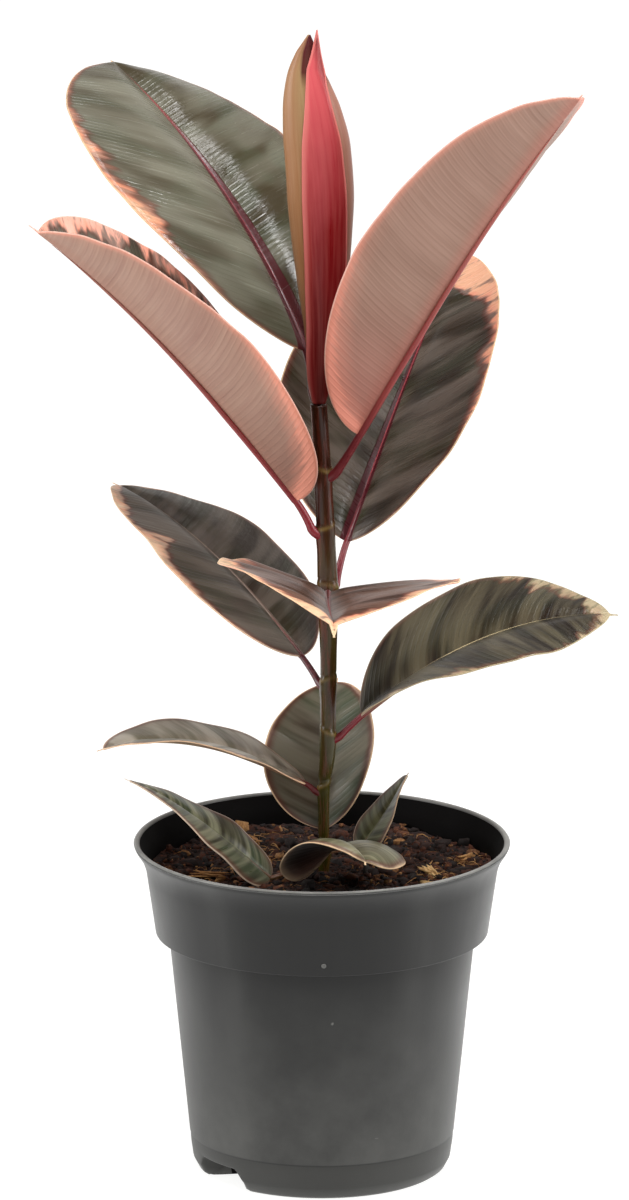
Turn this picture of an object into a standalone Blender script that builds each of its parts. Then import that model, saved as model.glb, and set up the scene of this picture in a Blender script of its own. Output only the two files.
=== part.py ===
"""A young rubber plant with pink-edged leaves in a round grower's pot.

Metres, +Z up. The origin is the middle of the pot's foot on the table, and -Y is the front.
Every piece is one closed solid. Azimuths are in degrees, 0 towards the front and 90 towards +X.
"""

from dataclasses import dataclass
from math import cos, pi, radians, sin

import bmesh
import bpy
import numpy as np

# ---------------------------------------------------------------- driving dimensions, metres
GAP = 0.0003                  # air between pieces that touch

# pot
LIP_RADIUS = 0.0850
POT_HEIGHT = 0.1525
WALL = 0.0016
COLLAR_TOP_RADIUS = 0.0795
COLLAR_TOP = 0.1395
COLLAR_FOOT_RADIUS = 0.0754
COLLAR_FOOT = 0.1105
BODY_TOP_RADIUS = 0.0693
BODY_FOOT_RADIUS = 0.0593
BODY_FOOT = 0.0125
FOOT_RADIUS = 0.0540
FOOT_WALL = 0.0020
FLOOR_UNDERSIDE = 0.0100
FLOOR_TOP = 0.0120
NOTCH_AZIMUTHS = (-55.0, 100.0, -160.0)
NOTCH_HALF_ANGLE = 20.0
NOTCH_SLOPE_ANGLE = 6.0
NOTCH_RADIUS = 0.0385
DRAIN_OUTER_RADIUS = 0.0530
DRAIN_INNER_RADIUS = 0.0430
DRAIN_HALF_ANGLE = 7.5
POT_COLUMNS = 72

# soil
SOIL_LEVEL = 0.1385
SOIL_RELIEF = 0.0011
SOCKET_FOOT = 0.1000
SOIL_COLUMNS = 48

# stem: height, sideways shift and radius, from the buried end up
STEM_STATIONS = (
    (0.1003, 0.0010, 0.0023),
    (0.1400, 0.0010, 0.0024),
    (0.1760, 0.0010, 0.0026),
    (0.1920, 0.0024, 0.0035),
    (0.2350, 0.0028, 0.0037),
    (0.2700, 0.0026, 0.0046),
    (0.2920, 0.0020, 0.0042),
    (0.3220, 0.0006, 0.0040),
    (0.3560, -0.0014, 0.0036),
)
STEM_COLUMNS = 16

# leaves
EDGE_THICKNESS = 0.0008
BLADE_THICKNESS = 0.0013
RIDGE = 0.0014                # how far the midrib stands out below the blade
FULLNESS = 0.60               # smaller makes the blade squarer at both ends
DRIP_TIP = 0.03               # share of the blade's length in the narrow tip
PETIOLE_STEPS = 3
BLADE_STATIONS = (0.02, 0.08, 0.18, 0.30, 0.42, 0.55, 0.68, 0.80, 0.89, 0.95, 0.985, 1.0)
BLADE_COLUMNS = (-1.0, -0.6, -0.2, 0.0, 0.2, 0.6, 1.0)
FINE_STEPS = 240


@dataclass(frozen=True)
class Leaf:
    """Where one leaf leaves the stem, and how its blade is bent. Metres and degrees."""

    name: str
    height: float             # of the petiole's foot on the stem
    azimuth: float            # of the blade at its start
    petiole: float            # length
    petiole_rise: float       # above level, at the stem
    length: float             # of the blade
    half_width: float
    rise: float               # above level, at the blade's start
    tip_rise: float           # above level, at the tip
    droop: float = 1.3        # 1 bends evenly, more bends late
    turn: float = 0.0         # change of azimuth along the blade
    roll: float = 0.0         # about the midrib, at the start
    tip_roll: float = 0.0
    fold: float = 20.0        # lift of each half, at the start
    tip_fold: float = 10.0
    curl: float = 0.0         # extra lift from midrib to edge
    widest: float = 0.50      # share of the length
    swing: float = 0.0        # azimuth of the petiole's foot less that of the blade
    knee: float = 0.0         # bend between petiole and blade
    lopsided: float = 0.0     # share by which the right half is wider
    hook: float = 0.0         # extra rise of the drip tip


LEAVES = (
    Leaf("upper_left_leaf", 0.358, -156, 0.019, 95, 0.202, 0.059, 42, -17, 4.2, turn=26,
         roll=14, tip_roll=-6, fold=23, tip_fold=-12, curl=-13, widest=0.46, swing=22),
    Leaf("upper_right_leaf", 0.323, 60, 0.023, 55, 0.203, 0.052, 60, 52, 1.3, turn=3,
         roll=-8, tip_roll=-17, fold=26, tip_fold=19, curl=10, widest=0.51),
    Leaf("left_spread_leaf", 0.296, -67, 0.017, 68, 0.188, 0.052, 54, 39, 1.3, turn=-4,
         roll=-9, tip_roll=-2, fold=25, tip_fold=26, curl=14, widest=0.48),
    Leaf("right_back_leaf", 0.268, 147, 0.021, 75, 0.154, 0.055, 54, 43, 1.2, turn=3,
         roll=7, tip_roll=-11, fold=25, tip_fold=9, curl=3, widest=0.51),
    Leaf("front_leaf", 0.261, 0, 0.025, 56, 0.150, 0.058, 14, 1, 1.6, turn=2,
         roll=-7, tip_roll=-5, fold=14, tip_fold=15, curl=4, widest=0.51, lopsided=0.08,
         hook=-45),
    Leaf("middle_left_leaf", 0.224, -135, 0.015, 48, 0.131, 0.044, 38, 13, 1.5, turn=7,
         roll=6, tip_roll=12, fold=7, tip_fold=11, curl=-9, widest=0.51),
    Leaf("right_arching_leaf", 0.200, 88, 0.014, 47, 0.128, 0.047, 42, -4, 1.3, turn=5,
         roll=7, tip_roll=12, fold=24, tip_fold=0, curl=-5, widest=0.51),
    Leaf("left_low_leaf", 0.175, -90, 0.005, 45, 0.099, 0.027, 30, -17, 1.4, turn=10,
         roll=2, tip_roll=4, fold=11, tip_fold=13, curl=-4, widest=0.49),
    Leaf("round_back_leaf", 0.147, 178, 0.009, 45, 0.073, 0.029, 60, 47, 1.3, turn=-11,
         roll=-20, tip_roll=-13, fold=25, tip_fold=14, curl=6, widest=0.47),
    Leaf("small_left_leaf", 0.145, -81, 0.029, -4, 0.083, 0.017, 44, 24, 1.7, turn=-2,
         roll=-34, tip_roll=8, fold=8, tip_fold=7, curl=-11, widest=0.39, swing=54, knee=58,
         lopsided=0.05),
    Leaf("small_right_leaf", 0.147, 117, 0.014, 0, 0.041, 0.013, 48, 61, 1.3, turn=-9,
         roll=11, tip_roll=-15, fold=5, tip_fold=17, curl=-6, widest=0.41, knee=53,
         lopsided=-0.05),
    Leaf("small_front_leaf", 0.147, 19, 0.009, 34, 0.053, 0.032, 23, -15, 1.5, turn=-4,
         roll=12, tip_roll=-22, fold=6, tip_fold=33, curl=-60, widest=0.47, lopsided=-0.1,
         hook=-50),
)

# rolled young leaf: height, sideways shift, half width; it is flatter from front to back
SPINDLE_STATIONS = (
    (0.3566, -0.0014, 0.0016),
    (0.3640, -0.0012, 0.0036),
    (0.3780, -0.0006, 0.0062),
    (0.3950, 0.0000, 0.0088),
    (0.4150, 0.0000, 0.0118),
    (0.4350, -0.0004, 0.0140),
    (0.4550, -0.0008, 0.0152),
    (0.4750, -0.0022, 0.0149),
    (0.4920, -0.0044, 0.0126),
    (0.5040, -0.0062, 0.0088),
    (0.5120, -0.0078, 0.0048),
    (0.5175, -0.0094, 0.0010),
)
SPINDLE_DEPTH = 0.62          # front-to-back size as a share of the width
SPINDLE_COLUMNS = 16
# bud sheath over its front: height, azimuths of its two edges
SHEATH_STATIONS = (
    (0.3566, -115, 120),
    (0.3640, -80, 100),
    (0.3780, -60, 75),
    (0.3950, -45, 62),
    (0.4150, -36, 55),
    (0.4350, -30, 50),
    (0.4550, -27, 46),
    (0.4750, -20, 44),
    (0.4920, -12, 42),
    (0.5040, -2, 50),
    (0.5120, 15, 75),
)
SHEATH_THICKNESS = 0.0010
SHEATH_TIP = (-0.0022, -0.0012, 0.5260)
SHEATH_COLUMNS = 9

# wood chips on the soil: azimuth, distance from the middle, length, width, thickness, heading
CHIPS = (
    ("wood_chip_right", 78, 0.050, 0.015, 0.0050, 0.0022, 20),
    ("wood_chip_right_front", 58, 0.062, 0.016, 0.0045, 0.0020, 75),
    ("wood_chip_far_right", 100, 0.066, 0.010, 0.0050, 0.0022, 130),
    ("wood_chip_back_left", -118, 0.034, 0.013, 0.0048, 0.0020, 80),
    ("wood_chip_back", -140, 0.048, 0.012, 0.0052, 0.0020, 15),
    ("root_twig_left", -72, 0.056, 0.018, 0.0030, 0.0024, 70),
)


# ---------------------------------------------------------------- mesh helpers
def clear_scene():
    """Remove every object, so that the part starts from nothing."""
    for thing in list(bpy.data.objects):
        bpy.data.objects.remove(thing, do_unlink=True)


def make_material(name, colour, roughness, metallic=0.0):
    """Return a plain Principled material."""
    material = bpy.data.materials.new(name)
    material.use_nodes = True
    shader = material.node_tree.nodes["Principled BSDF"]
    shader.inputs["Base Color"].default_value = (*colour, 1.0)
    shader.inputs["Roughness"].default_value = roughness
    shader.inputs["Metallic"].default_value = metallic
    material.diffuse_color = (*colour, 1.0)
    return material


def skin(name, rings, material, first="fan", last="fan", skipped=(), walls=()):
    """Join rings of equal length into one closed solid.

    first and last close the ends: "fan" adds a middle point, "strip" joins a ring's two rows.
    skipped holds (ring, column) quads that are left open, and walls holds the quads, as
    (ring, column) corners, that close such an opening.
    """
    rings = [np.asarray(ring, float) for ring in rings]
    size = len(rings[0])
    mesh = bmesh.new()
    rows = [[mesh.verts.new(point) for point in ring] for ring in rings]
    left_out = set(skipped)
    for index in range(len(rows) - 1):
        for column in range(size):
            if (index, column) in left_out:
                continue
            after = (column + 1) % size
            mesh.faces.new((rows[index][column], rows[index][after],
                            rows[index + 1][after], rows[index + 1][column]))
    for wall in walls:
        mesh.faces.new([rows[ring][column % size] for ring, column in wall])
    for row, ring, style in ((rows[0], rings[0], first), (rows[-1], rings[-1], last)):
        if style == "fan":
            middle = mesh.verts.new(ring.mean(axis=0))
            for column in range(size):
                mesh.faces.new((middle, row[column], row[(column + 1) % size]))
        else:
            for column in range(size // 2 - 1):
                mesh.faces.new((row[column], row[column + 1],
                                row[size - 2 - column], row[size - 1 - column]))
    bmesh.ops.recalc_face_normals(mesh, faces=mesh.faces)
    bmesh.ops.triangulate(mesh, faces=mesh.faces)
    data = bpy.data.meshes.new(name)
    mesh.to_mesh(data)
    mesh.free()
    data.materials.append(material)
    thing = bpy.data.objects.new(name, data)
    bpy.context.scene.collection.objects.link(thing)
    return thing


def heading(azimuth):
    """Return the level unit vector at an azimuth in degrees."""
    return np.array((sin(radians(azimuth)), -cos(radians(azimuth)), 0.0))


def level_ring(radius, height, columns, shift=0.0):
    """Return a level circle of points, from the front round towards +X."""
    angles = np.arange(columns) * 2 * pi / columns
    return np.column_stack((shift + radius * np.sin(angles), -radius * np.cos(angles),
                            np.full(columns, height)))


# ---------------------------------------------------------------- pot and soil
def notch_share(azimuth):
    """Return 1 inside a drain notch of the foot, 0 outside, and between on its slopes."""
    apart = min(abs((azimuth - middle + 180) % 360 - 180) for middle in NOTCH_AZIMUTHS)
    return float(np.clip((NOTCH_HALF_ANGLE - apart) / NOTCH_SLOPE_ANGLE, 0, 1))


def body_radius(height):
    """Return the outer radius of the tapered body."""
    return float(np.interp(height, (BODY_FOOT, COLLAR_FOOT), (BODY_FOOT_RADIUS, BODY_TOP_RADIUS)))


def collar_radius(height):
    """Return the outer radius of the collar."""
    return float(np.interp(height, (COLLAR_FOOT, COLLAR_TOP),
                           (COLLAR_FOOT_RADIUS, COLLAR_TOP_RADIUS)))


def pot_profile():
    """Return (lobe, notch) pairs of (radius, height), from the underside to the floor's top."""
    groove = 0.0165
    foot = [
        ((0.020, FLOOR_UNDERSIDE), (0.020, FLOOR_UNDERSIDE)),
        ((FOOT_RADIUS - FOOT_WALL, FLOOR_UNDERSIDE), (NOTCH_RADIUS - WALL, FLOOR_UNDERSIDE)),
        ((FOOT_RADIUS - FOOT_WALL, 0.0), (NOTCH_RADIUS - WALL, 0.0)),
        ((FOOT_RADIUS - 0.4 * FOOT_WALL, 0.0), (NOTCH_RADIUS, 0.0)),
        ((FOOT_RADIUS, 0.0), (NOTCH_RADIUS + 0.0014, 0.0096)),
        ((FOOT_RADIUS + 0.0006, 0.0003), (DRAIN_INNER_RADIUS, 0.0102)),
        ((FOOT_RADIUS + 0.0022, 0.0014), (DRAIN_OUTER_RADIUS, 0.0102)),
        ((BODY_FOOT_RADIUS - 0.0009, 0.0055), (BODY_FOOT_RADIUS - 0.0004, 0.0106)),
    ]
    wall = [
        (BODY_FOOT_RADIUS, BODY_FOOT),
        (body_radius(groove) - 0.0005, groove),
        (body_radius(groove) + 0.0001, groove + 0.0010),
        (BODY_TOP_RADIUS, COLLAR_FOOT - 0.0006),
        (BODY_TOP_RADIUS + 0.0006, COLLAR_FOOT),
        (COLLAR_FOOT_RADIUS - 0.0006, COLLAR_FOOT),
        (COLLAR_FOOT_RADIUS, COLLAR_FOOT + 0.0007),
        (COLLAR_TOP_RADIUS, COLLAR_TOP),
        (COLLAR_TOP_RADIUS + 0.0013, COLLAR_TOP + 0.0042),
        (LIP_RADIUS - 0.0012, POT_HEIGHT - 0.0046),
        (LIP_RADIUS, POT_HEIGHT - 0.0018),
        (LIP_RADIUS - 0.0004, POT_HEIGHT - 0.0004),
        (LIP_RADIUS - 0.0014, POT_HEIGHT),
        (LIP_RADIUS - 0.0026, POT_HEIGHT - 0.0016),
        (COLLAR_TOP_RADIUS + 0.0013 - WALL, COLLAR_TOP + 0.0050),
        (COLLAR_TOP_RADIUS - WALL, COLLAR_TOP),
        (COLLAR_FOOT_RADIUS - WALL, COLLAR_FOOT + WALL),
        (BODY_TOP_RADIUS - WALL, COLLAR_FOOT + WALL),
        (BODY_FOOT_RADIUS - WALL, FLOOR_TOP),
        (DRAIN_OUTER_RADIUS, FLOOR_TOP),
        (DRAIN_INNER_RADIUS, FLOOR_TOP),
        (0.020, FLOOR_TOP),
    ]
    return foot + [(point, point) for point in wall]


def build_pot(material):
    """Build the pot: foot with drain notches, tapered body, collar and rolled lip."""
    azimuths = np.arange(POT_COLUMNS) * 360.0 / POT_COLUMNS
    shares = [notch_share(azimuth) for azimuth in azimuths]
    profile = pot_profile()
    rings = []
    for lobe, notch in profile:
        ring = []
        for azimuth, share in zip(azimuths, shares):
            radius = lobe[0] + (notch[0] - lobe[0]) * share
            height = lobe[1] + (notch[1] - lobe[1]) * share
            ring.append(heading(azimuth) * radius + np.array((0, 0, height)))
        rings.append(ring)
    roof = 5
    floor = len(profile) - 3
    step = 360.0 / POT_COLUMNS
    skipped = []
    walls = []
    for middle in NOTCH_AZIMUTHS:
        start = round((middle - DRAIN_HALF_ANGLE) / step)
        stop = round((middle + DRAIN_HALF_ANGLE) / step)
        for column in range(start, stop):
            here = column % POT_COLUMNS
            skipped += [(roof, here), (floor, here)]
            walls.append(((roof, column), (roof, column + 1), (floor + 1, column + 1),
                          (floor + 1, column)))
            walls.append(((roof + 1, column), (roof + 1, column + 1), (floor, column + 1),
                          (floor, column)))
        for column in (start, stop):
            walls.append(((roof, column), (roof + 1, column), (floor, column),
                          (floor + 1, column)))
    return skin("pot", rings, material, skipped=skipped, walls=walls)


def soil_height(x, y):
    """Return the height of the soil's lumpy top."""
    return SOIL_LEVEL + SOIL_RELIEF * (
        0.5 * np.sin(95 * x + 60 * y + 1.0) + 0.3 * np.sin(150 * y - 70 * x)
        + 0.2 * np.cos(210 * x - 40 * y + 2.0))


def build_soil(material):
    """Build the potting soil, with a socket for the stem's buried end."""
    shift = STEM_STATIONS[0][1]
    socket = STEM_STATIONS[1][2] + GAP
    slack = GAP + 0.0001
    top_radius = collar_radius(SOIL_LEVEL) - WALL - slack
    rings = [level_ring(socket - 0.0006, SOCKET_FOOT - GAP, SOIL_COLUMNS, shift),
             level_ring(socket, SOCKET_FOOT - GAP + 0.0006, SOIL_COLUMNS, shift)]
    for share in (0.0, 0.14, 0.30, 0.46, 0.62, 0.78, 0.90, 1.0):
        radius = socket + (top_radius - 0.0010 - socket) * share
        ring = level_ring(radius, 0.0, SOIL_COLUMNS, shift * (1 - share))
        ring[:, 2] = soil_height(ring[:, 0], ring[:, 1])
        rings.append(ring)
    for radius, height in (
            (top_radius - 0.0003, SOIL_LEVEL - 0.0022),
            (COLLAR_FOOT_RADIUS - WALL - slack, COLLAR_FOOT + WALL + GAP + 0.0004),
            (COLLAR_FOOT_RADIUS - WALL - 2 * slack, COLLAR_FOOT + WALL + GAP),
            (BODY_TOP_RADIUS - WALL - slack, COLLAR_FOOT + WALL + GAP),
            (BODY_FOOT_RADIUS - WALL - slack, FLOOR_TOP + GAP)):
        rings.append(level_ring(radius, height, SOIL_COLUMNS))
    return skin("potting_soil", rings, material)


# ---------------------------------------------------------------- stem and leaves
def stem_at(height):
    """Return the stem's sideways shift and radius at a height."""
    heights, shifts, radii = zip(*STEM_STATIONS)
    return float(np.interp(height, heights, shifts)), float(np.interp(height, heights, radii))


def build_stem(material):
    """Build the stem as one tapering, slightly leaning shoot."""
    rings = [level_ring(radius, height, STEM_COLUMNS, shift)
             for height, shift, radius in STEM_STATIONS]
    return skin("stem", rings, material)


def outline(leaf, along):
    """Return the half width of the blade as a share of its greatest."""
    body = np.clip(along / (1 - DRIP_TIP), 0, 1) ** (np.log(0.5) / np.log(leaf.widest))
    tip = 0.05 * np.clip((1 - along) / (4 * DRIP_TIP), 0, 1) ** 0.8
    return np.maximum(np.clip(4 * body * (1 - body), 0, 1) ** FULLNESS, tip * (along > 0.5))


def direction(rise, azimuth):
    """Return unit vectors for arrays of rise and azimuth in degrees."""
    rise, azimuth = np.radians(rise), np.radians(azimuth)
    return np.stack((np.cos(rise) * np.sin(azimuth), -np.cos(rise) * np.cos(azimuth),
                     np.sin(rise)), axis=-1)


def bent_path(start, length, shares, rise, azimuth):
    """Walk a path whose rise and azimuth are functions of the share, and sample it."""
    middles = (np.arange(FINE_STEPS) + 0.5) / FINE_STEPS
    steps = direction(rise(middles), azimuth(middles)) * length / FINE_STEPS
    points = np.vstack((start, start + np.cumsum(steps, axis=0)))
    knots = np.linspace(0, 1, FINE_STEPS + 1)
    return np.column_stack([np.interp(shares, knots, points[:, axis]) for axis in range(3)])


def axes(rise, azimuth, roll):
    """Return the side and normal vectors of a section, rolled about its tangent."""
    tangent = direction(rise, azimuth)
    turn = np.radians(azimuth)
    level = np.array((np.cos(turn), np.sin(turn), 0.0))
    upward = np.cross(tangent, level)
    roll = np.radians(roll)
    return (np.cos(roll) * level + np.sin(roll) * upward,
            -np.sin(roll) * level + np.cos(roll) * upward)


def round_section(middle, side, normal, radius):
    """Return a round section as two rows of points, like those of the blade."""
    angles = pi * (1 - (np.asarray(BLADE_COLUMNS) + 1) / 2)
    angles[0], angles[-1] = pi - 0.25, 0.25
    top = [middle + radius * (cos(a) * side + sin(a) * normal) for a in angles]
    low = [middle + radius * (cos(a) * side - sin(a) * normal) for a in angles]
    return np.array(top + low[::-1])


def blade_section(leaf, along, middle, side, normal):
    """Return a section of the blade: a folded and curled strip with a ridge below."""
    width = max(leaf.half_width * float(outline(leaf, along)), 0.0009)
    fold = radians(leaf.fold + (leaf.tip_fold - leaf.fold) * along)
    curl = radians(leaf.curl) if leaf.curl else 1e-6
    ridge = RIDGE * (1 - along) * min(1.0, width / 0.004)
    top, low = [], []
    for column in BLADE_COLUMNS:
        out, hand = abs(column), np.sign(column)
        angle = fold + curl * out
        half = width * (1 + leaf.lopsided * hand)
        across = hand * half * (sin(angle) - sin(fold)) / curl
        lift = half * (cos(fold) - cos(angle)) / curl
        place = middle + across * side + lift * normal
        facing = cos(angle) * normal - hand * sin(angle) * side if out else normal
        thick = (BLADE_THICKNESS + (EDGE_THICKNESS - BLADE_THICKNESS) * out) / 2
        thick = min(thick, 0.35 * width)
        top.append(place + thick * facing)
        low.append(place - (thick + (ridge if out == 0 else 0)) * facing)
    return np.array(top + low[::-1])


def build_leaf(leaf, material):
    """Build petiole, midrib and blade of one leaf as a single solid."""
    radius = 0.0008 + 0.006 * leaf.length
    shift, stem_radius = stem_at(leaf.height)
    foot_azimuth = leaf.azimuth + leaf.swing
    outward = heading(foot_azimuth)
    axis = np.array((shift, 0.0, leaf.height))
    elbow = 1.2 * radius * sin(radians(max(leaf.petiole_rise, 0)))
    start = axis + outward * (stem_radius + GAP + 1.15 * radius) + np.array((0, 0, elbow))

    sideways = np.array((-outward[1], outward[0], 0.0))
    foot = round_section(np.zeros(3), sideways, np.array((0.0, 0.0, 1.0)), 1.1 * radius)
    reach = stem_radius + 0.0001 + GAP
    foot = [axis + point + outward * np.sqrt(reach ** 2 - (point @ sideways) ** 2)
            for point in foot]
    rings = [np.array(foot)]

    shares = np.linspace(0, 1, PETIOLE_STEPS + 1)
    end_rise = leaf.rise - leaf.knee

    def petiole_rise(share):
        return leaf.petiole_rise + (end_rise - leaf.petiole_rise) * share

    def petiole_azimuth(share):
        return leaf.azimuth + leaf.swing * (1 - share)

    def blade_rise(share):
        hooked = leaf.hook * np.clip((share - 1 + 2 * DRIP_TIP) / (2 * DRIP_TIP), 0, 1)
        return leaf.rise + (leaf.tip_rise - leaf.rise) * share ** leaf.droop + hooked

    def blade_azimuth(share):
        return leaf.azimuth + leaf.turn * share

    petiole = bent_path(start, leaf.petiole, shares, petiole_rise, petiole_azimuth)
    for share, middle in zip(shares, petiole):
        side, normal = axes(petiole_rise(share), petiole_azimuth(share), leaf.roll * share)
        rings.append(round_section(middle, side, normal, radius * (1 - 0.15 * share)))

    stations = np.array(BLADE_STATIONS)
    blade = bent_path(petiole[-1], leaf.length, stations, blade_rise, blade_azimuth)
    for along, middle in zip(stations, blade):
        roll = leaf.roll + (leaf.tip_roll - leaf.roll) * along
        side, normal = axes(blade_rise(along), blade_azimuth(along), roll)
        rings.append(blade_section(leaf, along, middle, side, normal))
    return skin(leaf.name, rings, material, first="strip", last="strip")


# ---------------------------------------------------------------- bud
def spindle_at(height):
    """Return the rolled leaf's sideways shift and half width at a height."""
    heights, shifts, widths = zip(*SPINDLE_STATIONS)
    return float(np.interp(height, heights, shifts)), float(np.interp(height, heights, widths))


def build_young_leaf(material):
    """Build the rolled young leaf as a flattened spindle."""
    rings = []
    for height, shift, width in SPINDLE_STATIONS:
        ring = level_ring(width, height, SPINDLE_COLUMNS)
        ring[:, 1] *= SPINDLE_DEPTH
        ring[:, 0] += shift
        rings.append(ring)
    return skin("young_leaf", rings, material)


def build_sheath(material):
    """Build the bud sheath, a pointed shell over the front of the young leaf."""
    rings = []
    for height, left, right in SHEATH_STATIONS:
        shift, width = spindle_at(height)
        turn = np.radians(np.linspace(left, right, SHEATH_COLUMNS))
        rows = []
        for extra in (2 * GAP + SHEATH_THICKNESS, 2 * GAP):
            rows.append(np.column_stack((
                shift + (width + extra) * np.sin(turn),
                -(width * SPINDLE_DEPTH + extra) * np.cos(turn),
                np.full(SHEATH_COLUMNS, height))))
        rings.append(np.vstack((rows[0], rows[1][::-1])))
    tip = np.array(SHEATH_TIP)
    for share, scale in ((0.35, 0.62), (0.70, 0.32), (1.0, 0.10)):
        middle = rings[len(SHEATH_STATIONS) - 1].mean(axis=0)
        base = rings[len(SHEATH_STATIONS) - 1] - middle
        rings.append(middle + (tip - middle) * share + base * scale)
    return skin("bud_sheath", rings, material, first="strip", last="strip")


# ---------------------------------------------------------------- chips
def build_chip(name, azimuth, distance, length, width, thickness, turn, material):
    """Build one splintered chip that lies on the soil."""
    middle = heading(azimuth) * distance
    along, across = heading(turn), heading(turn + 90)
    outline_points = [(-0.50, -0.20), (-0.30, -0.50), (0.20, -0.42), (0.50, -0.10),
                      (0.34, 0.44), (-0.12, 0.50), (-0.46, 0.24)]
    corners = [middle + along * length * a + across * width * b for a, b in outline_points]
    base = max(float(soil_height(corner[0], corner[1])) for corner in corners + [middle])
    base += GAP + 0.0002
    rings = []
    for height, scale in ((0.0, 0.90), (0.3, 1.0), (0.75, 0.94), (1.0, 0.72)):
        rings.append([middle + (corner - middle) * scale
                      + np.array((0, 0, base + thickness * height)) for corner in corners])
    return skin(name, rings, material)


def main():
    """Build the whole plant."""
    clear_scene()
    pot_plastic = make_material("pot_plastic", (0.075, 0.075, 0.075), 0.45)
    peat = make_material("peat", (0.055, 0.028, 0.018), 0.95)
    bark = make_material("green_bark", (0.075, 0.060, 0.030), 0.50)
    sheath = make_material("sheath_skin", (0.46, 0.045, 0.055), 0.35)
    rolled = make_material("young_leaf_skin", (0.36, 0.24, 0.12), 0.40)
    wood = make_material("chip_wood", (0.42, 0.24, 0.11), 0.90)
    build_pot(pot_plastic)
    build_soil(peat)
    build_stem(bark)
    for leaf in LEAVES:
        build_leaf(leaf, make_material(leaf.name + "_skin", (0.075, 0.080, 0.045), 0.35))
    build_young_leaf(rolled)
    build_sheath(sheath)
    for chip in CHIPS:
        build_chip(*chip, wood)


if __name__ == "__main__":
    main()
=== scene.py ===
"""Dress a potted young rubber plant: leaves, bud, stem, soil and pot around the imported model.

Lengths are in metres with +Z up, the middle of the pot's foot is the origin and -Y is the front.
Azimuths are in degrees, 0 towards the front and 90 towards +X.
"""

import logging
from dataclasses import dataclass, field
from enum import Enum
from functools import partial
from typing import Callable

import bpy
import numpy as np
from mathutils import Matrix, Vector


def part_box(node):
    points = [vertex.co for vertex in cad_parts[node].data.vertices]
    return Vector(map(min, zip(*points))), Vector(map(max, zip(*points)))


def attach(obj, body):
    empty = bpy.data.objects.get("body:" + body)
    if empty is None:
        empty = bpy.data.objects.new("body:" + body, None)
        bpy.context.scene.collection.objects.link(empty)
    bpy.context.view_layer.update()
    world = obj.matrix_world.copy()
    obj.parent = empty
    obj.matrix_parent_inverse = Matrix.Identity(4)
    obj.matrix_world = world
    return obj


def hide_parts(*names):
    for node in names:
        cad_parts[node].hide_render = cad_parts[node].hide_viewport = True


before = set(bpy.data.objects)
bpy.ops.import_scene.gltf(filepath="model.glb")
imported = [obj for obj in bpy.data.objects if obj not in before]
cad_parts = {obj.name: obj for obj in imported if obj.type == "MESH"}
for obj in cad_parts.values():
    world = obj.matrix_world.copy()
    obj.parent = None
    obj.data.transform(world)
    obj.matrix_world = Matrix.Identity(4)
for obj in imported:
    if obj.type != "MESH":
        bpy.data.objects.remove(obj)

LOG = logging.getLogger("rubber_plant")
Array = np.ndarray
Rows = tuple[tuple[float, ...], ...]
Material, Piece = bpy.types.Material, bpy.types.Object
Node, Socket, Tree = bpy.types.Node, bpy.types.NodeSocket, bpy.types.NodeTree
Adder = Callable[..., Node]
BODY = "root"
UP = np.array((0.0, 0.0, 1.0))


# ---- numbers and curves
def linear(code: str) -> tuple[float, ...]:
    """Turn an sRGB hex colour into linear RGBA.

    Args:
        code: six hex digits after a hash.

    Returns:
        Red, green, blue and an alpha of 1, each from 0 to 1.
    """
    share = np.array([int(code[i:i + 2], 16) for i in (1, 3, 5)]) / 255
    value = np.where(share <= 0.04045, share / 12.92, ((share + 0.055) / 1.055) ** 2.4)
    return (*value.tolist(), 1.0)


def smooth_curves(table: Rows, at: Array) -> Array:
    """Read smooth curves through points.

    Between two knots a curve is a cubic whose end slopes are the harmonic means of the slopes on
    either side, and 0 where those differ in sign, so it never overshoots.

    Args:
        table: rows of a knot and each curve's height there, by rising knot.
        at: places to read.

    Returns:
        The curves' heights there, one array for each curve.
    """
    knots, *heights = np.array(table, float).T
    values = np.array(heights)
    step = np.diff(knots)
    slope = np.diff(values) / step
    before, after = slope[:, :-1], slope[:, 1:]
    same = before * after > 0
    inner = np.where(same, 2 * before * after / np.where(same, before + after, 1.0), 0.0)
    ends = np.hstack((slope[:, :1], inner, slope[:, -1:]))
    index = np.clip(np.searchsorted(knots, at) - 1, 0, len(step) - 1)
    share = np.clip((at - knots[index]) / step[index], 0, 1)
    square, cube = share ** 2, share ** 3
    return ((2 * cube - 3 * square + 1) * values[:, index]
            + (cube - 2 * square + share) * step[index] * ends[:, index]
            + (3 * square - 2 * cube) * values[:, index + 1]
            + (cube - square) * step[index] * ends[:, index + 1])


def soft_step(value: Array, low: float, high: float) -> Array:
    """Rise from 0 at low to 1 at high along 3t^2 - 2t^3, where t is the share of the way."""
    share = np.clip((value - low) / (high - low), 0, 1)
    return share * share * (3 - 2 * share)


def bell(value: Array, width: float | Array) -> Array:
    """Give a bell curve of 1 at 0, which falls to 1/e at the width."""
    return np.exp(-(value / width) ** 2)


def unit(vectors: Array) -> Array:
    """Scale each vector along the last axis to length 1."""
    return vectors / np.maximum(np.linalg.norm(vectors, axis=-1, keepdims=True), 1e-12)


def heading(azimuth: Array) -> Array:
    """Give level unit vectors (sin a, -cos a, 0) for azimuths a in degrees."""
    turn = np.radians(np.asarray(azimuth, float))
    return np.stack((np.sin(turn), -np.cos(turn), np.zeros_like(turn)), axis=-1)


def direction(rise: Array, azimuth: Array) -> Array:
    """Give unit vectors that climb at a rise above level: cos(rise) * heading + sin(rise) * up."""
    climb = np.radians(rise)[..., None]
    return np.cos(climb) * heading(azimuth) + np.sin(climb) * UP


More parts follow.
